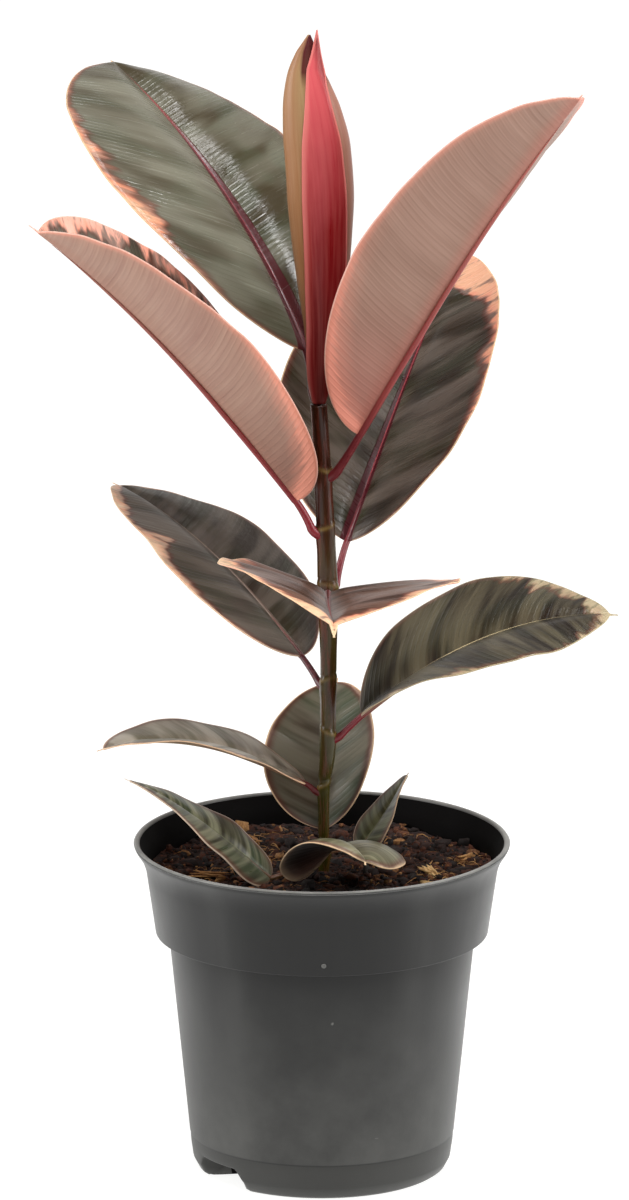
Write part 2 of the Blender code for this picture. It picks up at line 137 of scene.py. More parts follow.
def lattice_noise(x: Array, y: Array, pitch: float, seed: int) -> Array:
    """Give smooth bumps.

    Each lattice point holds a random height, and a place between four of them mixes their
    heights by the soft steps of its shares of the way across.

    Args:
        x: places along X.
        y: places along Y.
        pitch: lattice spacing in metres.
        seed: which random lattice.

    Returns:
        The bumps' heights, between -1 and 1.
    """
    size = 64
    table = np.random.default_rng(seed).uniform(-1, 1, (size, size))
    column, row = np.floor(x / pitch).astype(int), np.floor(y / pitch).astype(int)
    right, up = soft_step(x / pitch - column, 0, 1), soft_step(y / pitch - row, 0, 1)
    near, far = (table[line % size, column % size] * (1 - right)
                 + table[line % size, (column + 1) % size] * right for line in (row, row + 1))
    return near * (1 - up) + far * up


# ---- meshes
@dataclass
class Shell:
    """One closed surface: points, patches of faces with a finish number each, point values."""

    points: Array
    patches: list[tuple[Array, int]]
    values: dict[str, Array] = field(default_factory=dict)

    def volume(self) -> float:
        """Sum the signed volumes of the tetrahedra between the origin and each triangle.

        Returns:
            The enclosed volume, below 0 where the faces point inwards.
        """
        total = 0.0
        for corners, _ in self.patches:
            for second in range(1, corners.shape[1] - 1):
                a, b, c = (self.points[corners[:, k]] for k in (0, second, second + 1))
                total += float(np.einsum("ij,ij->i", a, np.cross(b, c)).sum()) / 6
        return total

    def outward(self) -> "Shell":
        """Turn every face over if the surface is inside out.

        Returns:
            The shell itself.
        """
        if self.volume() < 0:
            self.patches = [(corners[:, ::-1], finish) for corners, finish in self.patches]
        return self


def ring_faces(rows: int, columns: int) -> Array:
    """Number the quads of a grid whose rows are closed rings.

    Args:
        rows: rings.
        columns: points round each.

    Returns:
        Point numbers as (row, column, corner).
    """
    row = np.arange(rows - 1)[:, None] * columns
    column = np.arange(columns)
    after = (column + 1) % columns
    return np.stack((row + column, row + after, row + columns + after, row + columns + column), -1)


def loft(rings: Array, values: dict[str, Array], finish: int | Array = 0) -> Shell:
    """Skin closed rings, and close both ends with a fan round the mean of the end ring.

    Args:
        rings: points as (row, column, 3).
        values: point values as (row, column, 1 or 3), or a grid of size 1 that spreads to it.
        finish: a finish number, or one for each column of quads.

    Returns:
        The closed shell.
    """
    rows, columns = rings.shape[:2]
    count = rows * columns
    quads = ring_faces(rows, columns)
    numbers = np.broadcast_to(finish, (columns,))
    patches = [(quads[:, numbers == n].reshape(-1, 4), int(n)) for n in np.unique(numbers)]
    column = np.arange(columns)
    after = (column + 1) % columns
    for apex, fan in ((count, (after, column)), (count + 1, (column + count - columns,
                                                             after + count - columns))):
        patches.append((np.stack((np.full(columns, apex), *fan), -1), int(numbers[0])))
    full = {}
    for name, grid in (*values.items(), ("", rings)):
        grid = np.broadcast_to(grid, (rows, columns, grid.shape[-1]))
        full[name] = np.vstack((grid.reshape(count, -1), grid[[0, -1]].mean(axis=1)))
    return Shell(full.pop(""), patches, full).outward()


def wrap(upper: Array, edge: Array, lower: Array) -> Array:
    """Join one edge, an upper face, the other edge and a lower face into closed rings."""
    return np.concatenate((edge[:, :1], upper, edge[:, -1:], lower[:, ::-1]), axis=1)


def tube(path: Array, radius: Array, upward: Array, columns: int, squash: float = 1.0) -> Array:
    """Carry a round section along a path.

    At each point the section stands square to the path's tangent. Its side is the cross product
    of tangent and upward, and a column at angle a lies at side * cos(a) + normal * sin(a).

    Args:
        path: points (n, 3).
        radius: section radius at each point.
        upward: rough upward vectors (n, 3), never along the path.
        columns: points round the section.
        squash: height of the section as a share of its width.

    Returns:
        Rings of points (n, columns, 3).
    """
    tangent = unit(np.gradient(path, axis=0))
    side = unit(np.cross(tangent, upward))
    normal = np.cross(side, tangent)
    angle = (np.arange(columns) * 2 * np.pi / columns)[:, None]
    section = np.cos(angle) * side[:, None] + squash * np.sin(angle) * normal[:, None]
    return path[:, None] + radius[:, None, None] * section


def add_object(name: str, data: bpy.types.ID) -> Piece:
    """Put data into the scene as an object at the origin.

    Args:
        name: the object's name.
        data: its mesh, light or camera.

    Returns:
        The new object.
    """
    item = bpy.data.objects.new(name, data)
    bpy.context.scene.collection.objects.link(item)
    return item


def make_piece(name: str, shells: list[Shell], finishes: list[Material],
               node: str = "") -> Piece:
    """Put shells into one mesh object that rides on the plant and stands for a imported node.

    Args:
        name: the piece's name.
        shells: closed surfaces; they all carry the same point values.
        finishes: materials, numbered as in the shells' patches.
        node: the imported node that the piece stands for, if any.

    Returns:
        The new object, at the origin.
    """
    offsets = np.cumsum([0] + [len(shell.points) for shell in shells])
    points = np.vstack([shell.points for shell in shells])
    patches = [(corners + offset, finish) for shell, offset in zip(shells, offsets)
               for corners, finish in shell.patches]
    faces = [face for corners, _ in patches for face in corners.tolist()]
    numbers = [finish for corners, finish in patches for _ in corners]
    mesh = bpy.data.meshes.new(name)
    mesh.from_pydata(points.tolist(), [], faces)
    mesh.polygons.foreach_set("material_index", numbers)
    mesh.shade_smooth()
    for key in shells[0].values:
        grid = np.vstack([shell.values[key] for shell in shells]).astype(np.float32)
        kind, part = ("FLOAT_VECTOR", "vector") if grid.shape[1] == 3 else ("FLOAT", "value")
        mesh.attributes.new(key, kind, "POINT").data.foreach_set(part, grid.ravel())
    for material in finishes:
        mesh.materials.append(material)
    mesh.validate()
    piece = add_object(name, mesh)
    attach(piece, BODY)
    if node:
        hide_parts(node)
    LOG.info("%s: %d faces for %s", name, len(faces), node or "the soil's surface")
    return piece


# ---- finishes
SMOOTH = {"interpolation_type": "SMOOTHSTEP"}
RGBA = {"data_type": "RGBA"}


def fill(node: Node, inputs: dict | list) -> Node:
    """Set or link a node's inputs.

    Args:
        node: the node.
        inputs: what goes in, in order or by the inputs' names or numbers: a value, a hex
            colour, a socket, or a node, which gives its first output in use.

    Returns:
        The same node.
    """
    for key, value in inputs.items() if isinstance(inputs, dict) else enumerate(inputs):
        if isinstance(value, Node):
            value = next(socket for socket in value.outputs if socket.enabled)
        if isinstance(value, Socket):
            node.id_data.links.new(value, node.inputs[key])
        else:
            node.inputs[key].default_value = linear(value) if isinstance(value, str) else value
    return node


def add_node(tree: Tree, kind: str, inputs: dict | list = (), **settings: object) -> Node:
    """Add a node with its settings and links.

    Args:
        tree: the tree to add it to.
        kind: the node's type, without the ShaderNode in front.
        inputs: what goes in, as for fill.
        settings: the node's own properties.

    Returns:
        The new node.
    """
    node = tree.nodes.new(f"ShaderNode{kind}")
    for key, value in settings.items():
        setattr(node, key, value)
    return fill(node, inputs)


def start_material(name: str) -> tuple[Material, Adder, Node]:
    """Make a material.

    Args:
        name: its name.

    Returns:
        The material, add_node for its tree, and its Principled shader.
    """
    material = bpy.data.materials.new(name)
    material.use_nodes = True
    tree = material.node_tree
    return material, partial(add_node, tree), tree.nodes["Principled BSDF"]


def coat(add: Adder, shader: Node, ground: Node | str, layers: dict, relief: tuple,
         levels: dict) -> None:
    """Lay colours over a ground, raise a relief, and give both to the shader.

    Args:
        add: adds a node to the material.
        shader: its Principled shader.
        ground: the lowest colour.
        layers: the colour of each layer by its share, from the lowest up.
        relief: height, strength and distance of the bump.
        levels: the shader's other inputs.
    """
    for share, colour in layers.items():
        ground = add("Mix", {0: share, 6: ground, 7: colour}, **RGBA)
    bump = add("Bump", dict(zip(("Height", "Strength", "Distance"), relief)))
    fill(shader, {"Base Color": ground, "Normal": bump, **levels})


@dataclass(frozen=True)
class LeafSkin:
    """Living leaf under its wax: a dark green blade that pales and blushes towards its margin.

    The wax gives a soft, broken gloss, and the fine side veins give streaks square to the midrib.
    Widths are in metres. The pink is where the leaf has no green under its red. The value
    leaf_place holds the distance along the midrib at which the point's side vein leaves it, the
    signed distance from the midrib, and the distance to the edge.
    """

    seed: float
    margin: tuple[tuple[float, float, float], ...]    # share along, pink width on either half
    dark: str = "#2e2418"             # deep brown green
    moss: str = "#34331f"             # clouds of clearer green in it
    pale: str = "#6c6254"             # grey-green bands along the side veins, partly painted sheen of the wax
    blush: str = "#5c281e"            # brown red where pink lies over green
    wash: str = "#7c6a60"             # mauve-grey islands in the pink
    pink: str = "#e58e6e"             # margin
    cream: str = "#e8c8a0"            # outermost margin and tip
    rib: str = "#4e1018"              # midrib near the foot
    rib_tip: str = "#a05048"          # midrib at the tip
    rib_core: str = "#a04a4c"         # fine line along its middle
    petiole: str = "#480a14"
    stalk_light: str = "#8e3a3e"      # streaks along the stalk
    under: str = "#8e6854"            # underside
    under_deep: str = "#704a3c"
    under_foot: str = "#7c4e3e"       # underside near the foot
    ragged: float = 0.0060            # how far the pink reaches in along the veins
    bands_and_sheen: float = 0.8                # strength of the grey-green bands, which are partly painted sheen
    band_size: float = 0.017          # their size along the midrib
    creaminess: float = 0.4           # share of cream in the margin
    islands: float = 0.7              # strength of the mauve-grey islands in the pink
    rim: float = 0.7                  # strength of the pale line round the edge
    gloss: float = 0.32               # roughness of the wax
    rib_width: float = 0.15           # half width of the midrib's red, in cm
    blur: float = 0.0                 # softness added to the pink's inner edge
    relief: float = 1.0               # strength of the veins' relief
    painted_side_light: float = 0.0                 # painted light: how much paler the plus side, and darker the minus side, is than the middle

    VEIN_PITCH = 0.0029               # between side veins
    RIM_WIDTH = 0.0006                # the pale line round the edge

    def place(self, add: Adder) -> tuple[Socket, ...]:
        """Read the leaf's own coordinates.

        Args:
            add: adds a node to the material.

        Returns:
            leaf_place, its three parts, the share along the blade, and the pink's width.
        """
        spot, along, wide = (add("Attribute", attribute_name=f"leaf_{name}")
                             for name in ("place", "along", "margin"))
        place = spot.outputs["Vector"]
        return place, *add("SeparateXYZ", [place]).outputs, along.outputs["Fac"], wide.outputs["Fac"]

    def streaks(self, add: Adder, place: Socket, size: float, reach: float, shift: float,
                detail: float = 3.0) -> Node:
        """Make noise stretched along the side veins.

        Args:
            add: adds a node to the material.
            place: leaf_place.
            size: size of a streak along the midrib, in metres.
            reach: its length along the vein, in metres.
            shift: keeps this noise apart from the others.
            detail: octaves.

        Returns:
            Noise from 0 to 1.
        """
        spot = add("VectorMath", [place, (1 / size, 1 / reach, 0.0)], operation="MULTIPLY")
        return add("TexNoise", {"Vector": spot, "W": self.seed + shift, "Scale": 1.0,
                                "Detail": detail, "Roughness": 0.6}, noise_dimensions="4D")

    def veins(self, add: Adder, vein: Socket, wobble: Node) -> Node:
        """Make narrow ridges at the side veins: the fourth power of a wave's upper half.

        Args:
            add: adds a node to the material.
            vein: the first part of leaf_place.
            wobble: noise that bends the veins.

        Returns:
            The ridges' height, from 0 to 1.
        """
        bend = add("Math", [wobble, 7.0], operation="MULTIPLY")
        phase = add("Math", [vein, 2 * np.pi / self.VEIN_PITCH, bend], operation="MULTIPLY_ADD")
        wave = add("Math", [phase], operation="SINE")
        upper = add("Math", [wave, 0.5, 0.5], operation="MULTIPLY_ADD")
        return add("Math", [upper, 4.0], operation="POWER")

    def upper(self, name: str) -> Material:
        """Build the upper skin: mottled dark green, and a ragged pink and cream margin.

        Args:
            name: the leaf's name.

        Returns:
            The material.
        """
        material, add, shader = start_material(f"{name}_waxed_upper_skin")
        place, vein, across, edge, along, wide = self.place(add)
        broad, cloud, jag, fleck, fine, spark = (self.streaks(add, place, *sizes) for sizes in (
            (self.band_size, 0.060, 1.0, 2.0), (0.022, 0.028, 3.0, 2.0), (0.013, 0.040, 5.0, 2.5),
            (0.0042, 0.013, 14.0), (0.0016, 0.030, 9.0, 2.0), (0.0026, 0.0050, 17.0, 2.0)))

        # green: brown and moss-green clouds, broad pale bands that are partly painted sheen, fine
        # streaks over them, and one half painted paler than the other as painted light
        mossy = add("MapRange", [cloud, 0.42, 0.62], **SMOOTH)
        band_and_sheen = add("MapRange", [broad, 0.38, 0.64, 0.0, self.bands_and_sheen], **SMOOTH)
        streak = add("Math", [fine, 0.26, band_and_sheen], operation="MULTIPLY_ADD")
        # painted light and shade: one half of the blade paler, the other darker
        painted_side_lighting = add("MapRange", [across, -0.02, 0.02, -0.12 - self.painted_side_light, -0.12 + self.painted_side_light],
                      **SMOOTH)
        paled = add("Math", [streak, painted_side_lighting], use_clamp=True)

        # margin: the leaf's own width there, times and plus what the noises add
        scaled = add("Math", [wide, 220.0], operation="MULTIPLY", use_clamp=True)
        ragged = add("MapRange", [jag, 0.34, 0.66, -self.ragged, self.ragged])
        flecked = add("MapRange", [fleck, 0.3, 0.7, -0.0014, 0.0014])
        reach = add("Math", [ragged, flecked])
        patchy = add("MapRange", [cloud, 0.35, 0.65, 0.55, 1.4])
        uneven = add("Math", [wide, patchy], operation="MULTIPLY")
        width = add("Math", [reach, scaled, uneven], operation="MULTIPLY_ADD")
        inside = add("Math", [width, edge], operation="SUBTRACT")
        flush = add("MapRange", [inside, -0.0040, 0.0004, 0.0, 0.75], **SMOOTH)
        bare = add("MapRange", [inside, -0.0008 - self.blur, 0.0014 + self.blur], **SMOOTH)
        paler = add("MapRange", [inside, 0.0, 0.008, 0.0, 2 * self.creaminess])
        creamy = add("Math", [paler, jag], operation="MULTIPLY", use_clamp=True)
        inner = add("MapRange", [inside, 0.0, 0.0060, 0.16, -0.02])
        greyed = add("Math", [inner, fleck])
        island = add("MapRange", [greyed, 0.48, 0.66, 0.0, self.islands], **SMOOTH)
        rosy = add("Mix", {0: creamy, 6: self.pink, 7: self.cream}, **RGBA)
        washed = add("Mix", {0: island, 6: rosy, 7: self.wash}, **RGBA)

        # pale rim, and the midrib's red line, which narrows towards the tip
        rim = add("MapRange", [edge, 0.4 * self.RIM_WIDTH, self.RIM_WIDTH, self.rim, 0.0], **SMOOTH)
        away = add("Math", [across], operation="ABSOLUTE")
        half = add("MapRange", [along, 0.10, 0.96, 0.010 * self.rib_width, -0.0004])
        line = add("Math", [half, away], operation="SUBTRACT")
        on_rib = add("MapRange", [line, -0.0005, 0.0001, 0.0, 0.92], **SMOOTH)
        core = add("MapRange", [away, 0.0002, 0.0006, 0.8, 0.0], **SMOOTH)
        fade = add("MapRange", [along, 0.60, 0.95], **SMOOTH)
        rib = add("Mix", {0: fade, 6: self.rib, 7: self.rib_tip}, **RGBA)
        cored = add("Mix", {0: core, 6: rib, 7: self.rib_core}, **RGBA)

        # wax: the veins break the gloss into strokes, which come and go
        gloss = add("Math", [fleck, 0.5, fine], operation="MULTIPLY_ADD")
        rough = add("MapRange", [gloss, 0.5, 1.0, self.gloss - 0.06, self.gloss + 0.14])
        coming = add("MapRange", [cloud, 0.40, 0.62, 0.2, 1.0])
        broken = add("Math", [self.veins(add, vein, broad), coming], operation="MULTIPLY")
        knobbed = add("Math", [spark, 1.6, broken], operation="MULTIPLY_ADD")
        height = add("Math", [fine, 0.5, knobbed], operation="MULTIPLY_ADD")
        off_rib = add("Math", [1.0, on_rib], operation="SUBTRACT")
        flat = add("Math", [height, off_rib], operation="MULTIPLY")
        coat(add, shader, self.dark, {mossy: self.moss, paled: self.pale, flush: self.blush,
                                      bare: washed, rim: self.cream, on_rib: cored},
             (flat, 0.6, 0.00022 * self.relief),
             {"Roughness": rough, "IOR": 1.42, "Specular IOR Level": 0.42})
        return material

    def underside(self, name: str) -> Material:
        """Build the dull underside: tan with rosy streaks along the veins, and a pink edge.

        Args:
            name: the leaf's name.

        Returns:
            The material.
        """
        material, add, shader = start_material(f"{name}_matt_under_skin")
        place, vein, across, edge, along, wide = self.place(add)
        broad = self.streaks(add, place, 0.020, 0.070, 21.0)
        fine = self.streaks(add, place, 0.0013, 0.040, 25.0, 2.0)
        tone = add("MapRange", [fine, 0.35, 0.70, 0.0, 0.42])
        mottle = add("MapRange", [broad, 0.3, 0.7, -0.1, 0.35])
        deep = add("Math", [tone, mottle], use_clamp=True)
        low = add("MapRange", [along, 0.0, 0.42, 0.75, 0.0], **SMOOTH)
        away = add("Math", [across], operation="ABSOLUTE")
        rosy = add("MapRange", [away, 0.0, 0.009, 0.50, 0.0], **SMOOTH)
        reach = add("MapRange", [fine, 0.3, 0.7, 0.65, 1.2])
        width = add("Math", [reach, wide], operation="MULTIPLY")
        inside = add("Math", [width, edge], operation="SUBTRACT")
        close = add("MapRange", [inside, -0.0045, 0.0035, 0.0, 0.78], **SMOOTH)
        far = add("MapRange", [inside, -0.0110, 0.0015, 0.0, 0.36], **SMOOTH)
        spread = add("Math", [wide, 200.0], operation="MULTIPLY", use_clamp=True)
        haze = add("Math", [far, spread], operation="MULTIPLY")
        pink = add("Math", [close, haze], operation="MAXIMUM")
        rim = add("MapRange", [edge, 0.3 * self.RIM_WIDTH, self.RIM_WIDTH, 0.45, 0.0], **SMOOTH)
        height = add("Math", [fine, 0.6, self.veins(add, vein, broad)], operation="MULTIPLY_ADD")
        rough = add("MapRange", [fine, 0.3, 0.7, 0.50, 0.62])
        coat(add, shader, self.under, {deep: self.under_deep, low: self.under_foot,
                                       rosy: self.rib_tip, pink: self.pink, rim: self.cream},
             (height, 0.5, 0.00015), {"Roughness": rough, "Sheen Weight": 0.15})
        return material

    def stalk(self, name: str) -> Material:
        """Build the leaf stalk and raised midrib: wine red skin that pales towards the tip.

        Args:
            name: the leaf's name.

        Returns:
            The material.
        """
        material, add, shader = start_material(f"{name}_stalk_skin")
        place, *_, along, _ = self.place(add)
        fine = self.streaks(add, place, 0.0040, 0.0012, 31.0)
        to_rib = add("MapRange", [along, -0.05, 0.15], **SMOOTH)
        to_tip = add("MapRange", [along, 0.15, 0.9], **SMOOTH)
        tone = add("MapRange", [fine, 0.3, 0.7, 0.0, 0.45])
        rough = add("MapRange", [fine, 0.3, 0.7, 0.26, 0.42])
        coat(add, shader, self.petiole,
             {to_rib: self.rib, to_tip: self.rib_tip, tone: self.stalk_light},
             (fine, 0.4, 0.0001), {"Roughness": rough})
        return material


@dataclass(frozen=True)
class BudSkin:
    """Young leaf tissue in the bud, smooth and waxed: red sheath, tan and olive rolled blade.

    The value bud_place holds the height in metres, the azimuth round the bud as a share of a
    turn, and the distance to the nearer edge in metres. Fine streaks run up the bud.
    """

    name: str
    low: str
    middle: str
    high: str
    left: str
    right: str
    edge: str
    tip: str = "#4e1016"
    fold: float = 0.0                 # strength of the painted shade in the slit beside the sheath's tip

    FOOT, TOP = 0.357, 0.528

    def material(self) -> Material:
        """Build the skin: three colours up the bud, one more on each side, a pale edge, and painted
        shade in the slit beside the sheath's tip.

        Returns:
            The material.
        """
        material, add, shader = start_material(self.name)
        place = add("Attribute", attribute_name="bud_place").outputs["Vector"]
        height, around, edge = add("SeparateXYZ", [place]).outputs
        fine, cloud = (
            add("TexNoise", {"Vector": add("VectorMath", [place, scale], operation="MULTIPLY"),
                             "Scale": 1.0, "Detail": detail, "Roughness": rough})
            for scale, detail, rough in (((22, 60, 0), 4.0, 0.65), ((30, 9, 0), 3.0, 0.5)))
        lifted = add("MapRange", [height, self.FOOT, self.TOP, -0.12, 0.88])
        ramp = add("ValToRGB", [add("Math", [cloud, 0.24, lifted], operation="MULTIPLY_ADD")])
        stops = ramp.color_ramp.elements
        stops[0].position, stops[0].color = 0.04, linear(self.low)
        stops[1].position, stops[1].color = 0.97, linear(self.tip)
        for position, colour in ((0.45, self.middle), (0.84, self.high), (0.90, self.high)):
            stops.new(position).color = linear(colour)
        # on the sheath the side colours are a darker red: painted shade where its sides turn away
        toward_left = add("MapRange", [around, -0.02, -0.13, 0.0, 0.8], **SMOOTH)
        toward_right = add("MapRange", [around, 0.05, 0.16, 0.0, 0.9], **SMOOTH)
        streak = add("MapRange", [fine, 0.40, 0.80, 0.0, 0.22])
        # painted shade: the slit between the sheath's tip and the rolled leaf is darkened
        high = add("MapRange", [height, 0.503, 0.510, 0.0, self.fold])
        painted_slit_shade = add("MapRange", [around, -0.055, -0.030, 0.0, high], **SMOOTH)
        wide = add("MapRange", [around, -0.02, 0.03, 0.0034, 0.0013])
        rim = add("MapRange", [edge, 0.0004, wide, 0.75, 0.0], **SMOOTH)
        rough = add("MapRange", [fine, 0.3, 0.7, 0.26, 0.40])
        coat(add, shader, ramp, {toward_left: self.left, toward_right: self.right,
                                 streak: self.edge, painted_slit_shade: self.tip, rim: self.edge},
             (fine, 0.45, 0.00012), {"Roughness": rough, "Specular IOR Level": 0.26})
        return material


@dataclass(frozen=True)
class StemSkin:
    """Young bark, grown smooth: olive and red-brown, with pale leaf scars and fine furrows.

    The value stem_scar is 1 on a leaf scar. The furrows are about 1 mm apart round the stem.
    """

    olive: str = "#3a3610"
    brown: str = "#35190c"
    red: str = "#6c2516"
    scar: str = "#7c6434"

    def material(self) -> Material:
        """Build the bark: two noises mix its colours, and the scars lie over them.

        Returns:
            The material.
        """
        material, add, shader = start_material("young_smooth_bark")
        spot = add("TexCoord").outputs["Object"]
        furrow, patch = (
            add("TexNoise", {"Vector": add("Mapping", {"Vector": spot, "Scale": scale}),
                             "Scale": 1.0, "Detail": detail, "Roughness": rough})
            for scale, detail, rough in (((700, 700, 60), 4.0, 0.6), ((160, 160, 26), 2.0, 0.5)))
        height = add("SeparateXYZ", [spot]).outputs["Z"]
        higher = add("MapRange", [height, 0.17, 0.33, -0.25, 0.40])
        browner = add("MapRange", [add("Math", [patch, higher], use_clamp=True), 0.35, 0.75])
        redder = add("MapRange", [furrow, 0.50, 0.76, 0.0, 0.60])
        scar = add("Attribute", attribute_name="stem_scar").outputs["Fac"]
        scarred = add("Math", [scar, 0.8], operation="MULTIPLY", use_clamp=True)
        rough = add("MapRange", [furrow, 0.3, 0.7, 0.16, 0.34])
        coat(add, shader, self.olive, {browner: self.brown, redder: self.red, scarred: self.scar},
             (furrow, 0.6, 0.00025), {"Roughness": rough, "Specular IOR Level": 0.32})
        return material


@dataclass(frozen=True)
class PotPlastic:
    """Recycled polypropylene, injection moulded: dark grey with faint flow marks, scuffs and a painted
    highlight along the lip's top.

    The mould's fine spark grain, about 0.25 mm, is drawn at 0.6 mm so that it shows. The value
    pot_state holds the wear on edges with a painted highlight on the lip's top, the flow fronts,
    and the foot band, which is painted lighter, each from 0 up.
    """

    name: str
    body: str = "#0b0b0b"
    bloom: str = "#131313"
    front: str = "#2e2e2d"            # streaks where the flow fronts met in the mould
    foot: str = "#373735"             # painted light: band below the groove, lightened where it faces down and reflects the shaded floor
    # also the colour of the painted highlight along the lip's top
    scuff_and_highlight: str = "#8e8e8a"
    gloss: float = 0.38               # roughness
    shine: float = 0.34               # specular level
    haze: float = 0.26                # sheen of the worn grain

    def material(self) -> Material:
        """Build the plastic: upright flow marks, cloudy bloom, light scuffs on the edges, and a painted
        highlight along the lip's top.

        Returns:
            The material.
        """
        material, add, shader = start_material(self.name)
        spot = add("TexCoord").outputs["Object"]
        flow = add("Mapping", {"Vector": spot, "Scale": (90.0, 90.0, 7.0)})
        flow_mark, cloud, grain, nick = (
            add("TexNoise", {"Vector": where, "Scale": scale, "Detail": detail, "Roughness": rough})
            for where, scale, detail, rough in ((flow, 1.0, 4.0, 0.5), (spot, 34.0, 5.0, 0.6),
                                                (spot, 1600.0, 1.0, 0.5), (spot, 120.0, 2.0, 0.5)))
        state = add("Attribute", attribute_name="pot_state").outputs["Vector"]
        worn_and_lit, front, low = add("SeparateXYZ", [state]).outputs
        bloom = add("MapRange", [add("Math", [flow_mark, cloud]), 0.80, 1.25, 0.0, 0.6])
        weld = add("Math", [front, flow_mark], operation="MULTIPLY")
        # at the lip's top this lightening is a painted highlight
        rubbed_and_lit = add("Math", [worn_and_lit, cloud], operation="MULTIPLY", use_clamp=True)
        chipped = add("MapRange", [nick, 0.765, 0.79, 0.0, 0.45])
        scuffed_and_lit = add("Math", [chipped, rubbed_and_lit], operation="MAXIMUM")
        level = add("SeparateXYZ", [spot]).outputs["Z"]
        dull = add("MapRange", [level, 0.015, 0.085, 0.28, 0.0])
        polish = add("MapRange", [cloud, 0.3, 0.7, self.gloss, self.gloss + 0.10])
        relief = add("Math", [flow_mark, 3.0, grain], operation="MULTIPLY_ADD")
        coat(add, shader, self.body, {bloom: self.bloom, weld: self.front, low: self.foot,
                                      scuffed_and_lit: self.scuff_and_highlight}, (relief, 0.25, 0.00008),
             {"Roughness": add("Math", [polish, dull]), "IOR": 1.49, "Sheen Roughness": 0.42,
              "Specular IOR Level": self.shine, "Sheen Weight": self.haze})
        return material


@dataclass(frozen=True)
class EarthTone:
    """Peat, coir and bark crumbs, raw and dull. The value tone picks each crumb's own colour."""

    name: str
    colours: tuple[str, str, str, str] = ("#0c0402", "#240e06", "#54280f", "#b88a54")

    GRAIN = 900.0                     # noise scale: crumbs of about 1 mm

    def material(self) -> Material:
        """Build the tone: four colours along the value plus noise, and a rough crumbly relief.

        Returns:
            The material.
        """
        material, add, shader = start_material(self.name)
        spot = add("TexCoord").outputs["Object"]
        crumb = add("TexNoise", {"Vector": spot, "Scale": self.GRAIN, "Detail": 3.0,
                                 "Roughness": 0.65})
        tone = add("Attribute", attribute_name="tone").outputs["Fac"]
        spread = add("Math", [crumb, 0.6, tone], operation="MULTIPLY_ADD")
        share = add("Math", [spread, 0.3], operation="SUBTRACT", use_clamp=True)
        ramp = add("ValToRGB", [share])
        stops = ramp.color_ramp.elements
        stops[0].position, stops[1].position = 0.10, 0.95
        stops.new(0.38)
        stops.new(0.66)
        for stop, colour in zip(stops, self.colours):
            stop.color = linear(colour)
        rough = add("MapRange", [crumb, 0.3, 0.7, 0.72, 0.95])
        coat(add, shader, ramp, {}, (crumb, 0.8, 0.0006), {"Roughness": rough})
        return material


# ---- stem
@dataclass(frozen=True)
class Stem:
    """The single shoot: it leans and swells a little, and carries a scar ring above each leaf."""

    stations: Rows = (                # height, sideways shift, radius
        (0.1003, 0.0010, 0.0023), (0.1400, 0.0010, 0.0024), (0.1760, 0.0010, 0.0026),
        (0.1920, 0.0024, 0.0035), (0.2350, 0.0028, 0.0037), (0.2700, 0.0026, 0.0046),
        (0.2920, 0.0020, 0.0042), (0.3220, 0.0006, 0.0040), (0.3560, -0.0014, 0.0036))
    ring_lift: float = 0.0040         # scar ring above the leaf's foot
    ring_height: float = 0.0005
    ring_tilt: float = 0.0015         # how much lower it is on the leaf's side
    rows: int = 300
    columns: int = 40

    def at(self, height: float) -> tuple[float, ...]:
        """Read the stem's straight-line sideways shift and radius at a height."""
        heights, *others = zip(*self.stations)
        return tuple(float(np.interp(height, heights, other)) for other in others)

    def build(self, leaves: tuple["Leaf", ...], skin: StemSkin) -> Piece:
        """Build the shoot as stacked rings.

        The radius follows a smooth curve through the stations. Above each leaf it swells by a
        bell curve of the height, strongest on the leaf's side, and a narrow groove follows it.

        Args:
            leaves: the leaves, for their heights and azimuths.
            skin: the bark.

        Returns:
            The piece.
        """
        height = np.linspace(self.stations[0][0], self.stations[-1][0], self.rows)[:, None]
        shift, radius = smooth_curves(self.stations, height)
        azimuth = np.arange(self.columns) * 360.0 / self.columns
        scar = 0 * height
        swell = 0.00018 * np.sin(np.radians(azimuth * 3) + 40 * height)
        for leaf in leaves:
            toward = np.cos(np.radians(azimuth - leaf.azimuth))
            rise = height - leaf.height - self.ring_lift + self.ring_tilt * toward
            ring = self.ring_height * bell(rise, 0.0016) + 0.0004 * bell(rise + 0.004, 0.004)
            facing = 0.65 + 0.35 * toward
            swell = swell + ring * facing - 0.00022 * bell(rise - 0.0022, 0.0007)
            scar = scar + bell(rise, 0.0009) * facing
        rings = (heading(azimuth) * (radius + swell)[..., None]
                 + np.stack((shift, 0 * shift, height), -1))
        shell = loft(rings, {"stem_scar": scar[..., None]})
        return make_piece("stem_shoot", [shell], [skin.material()], "stem")


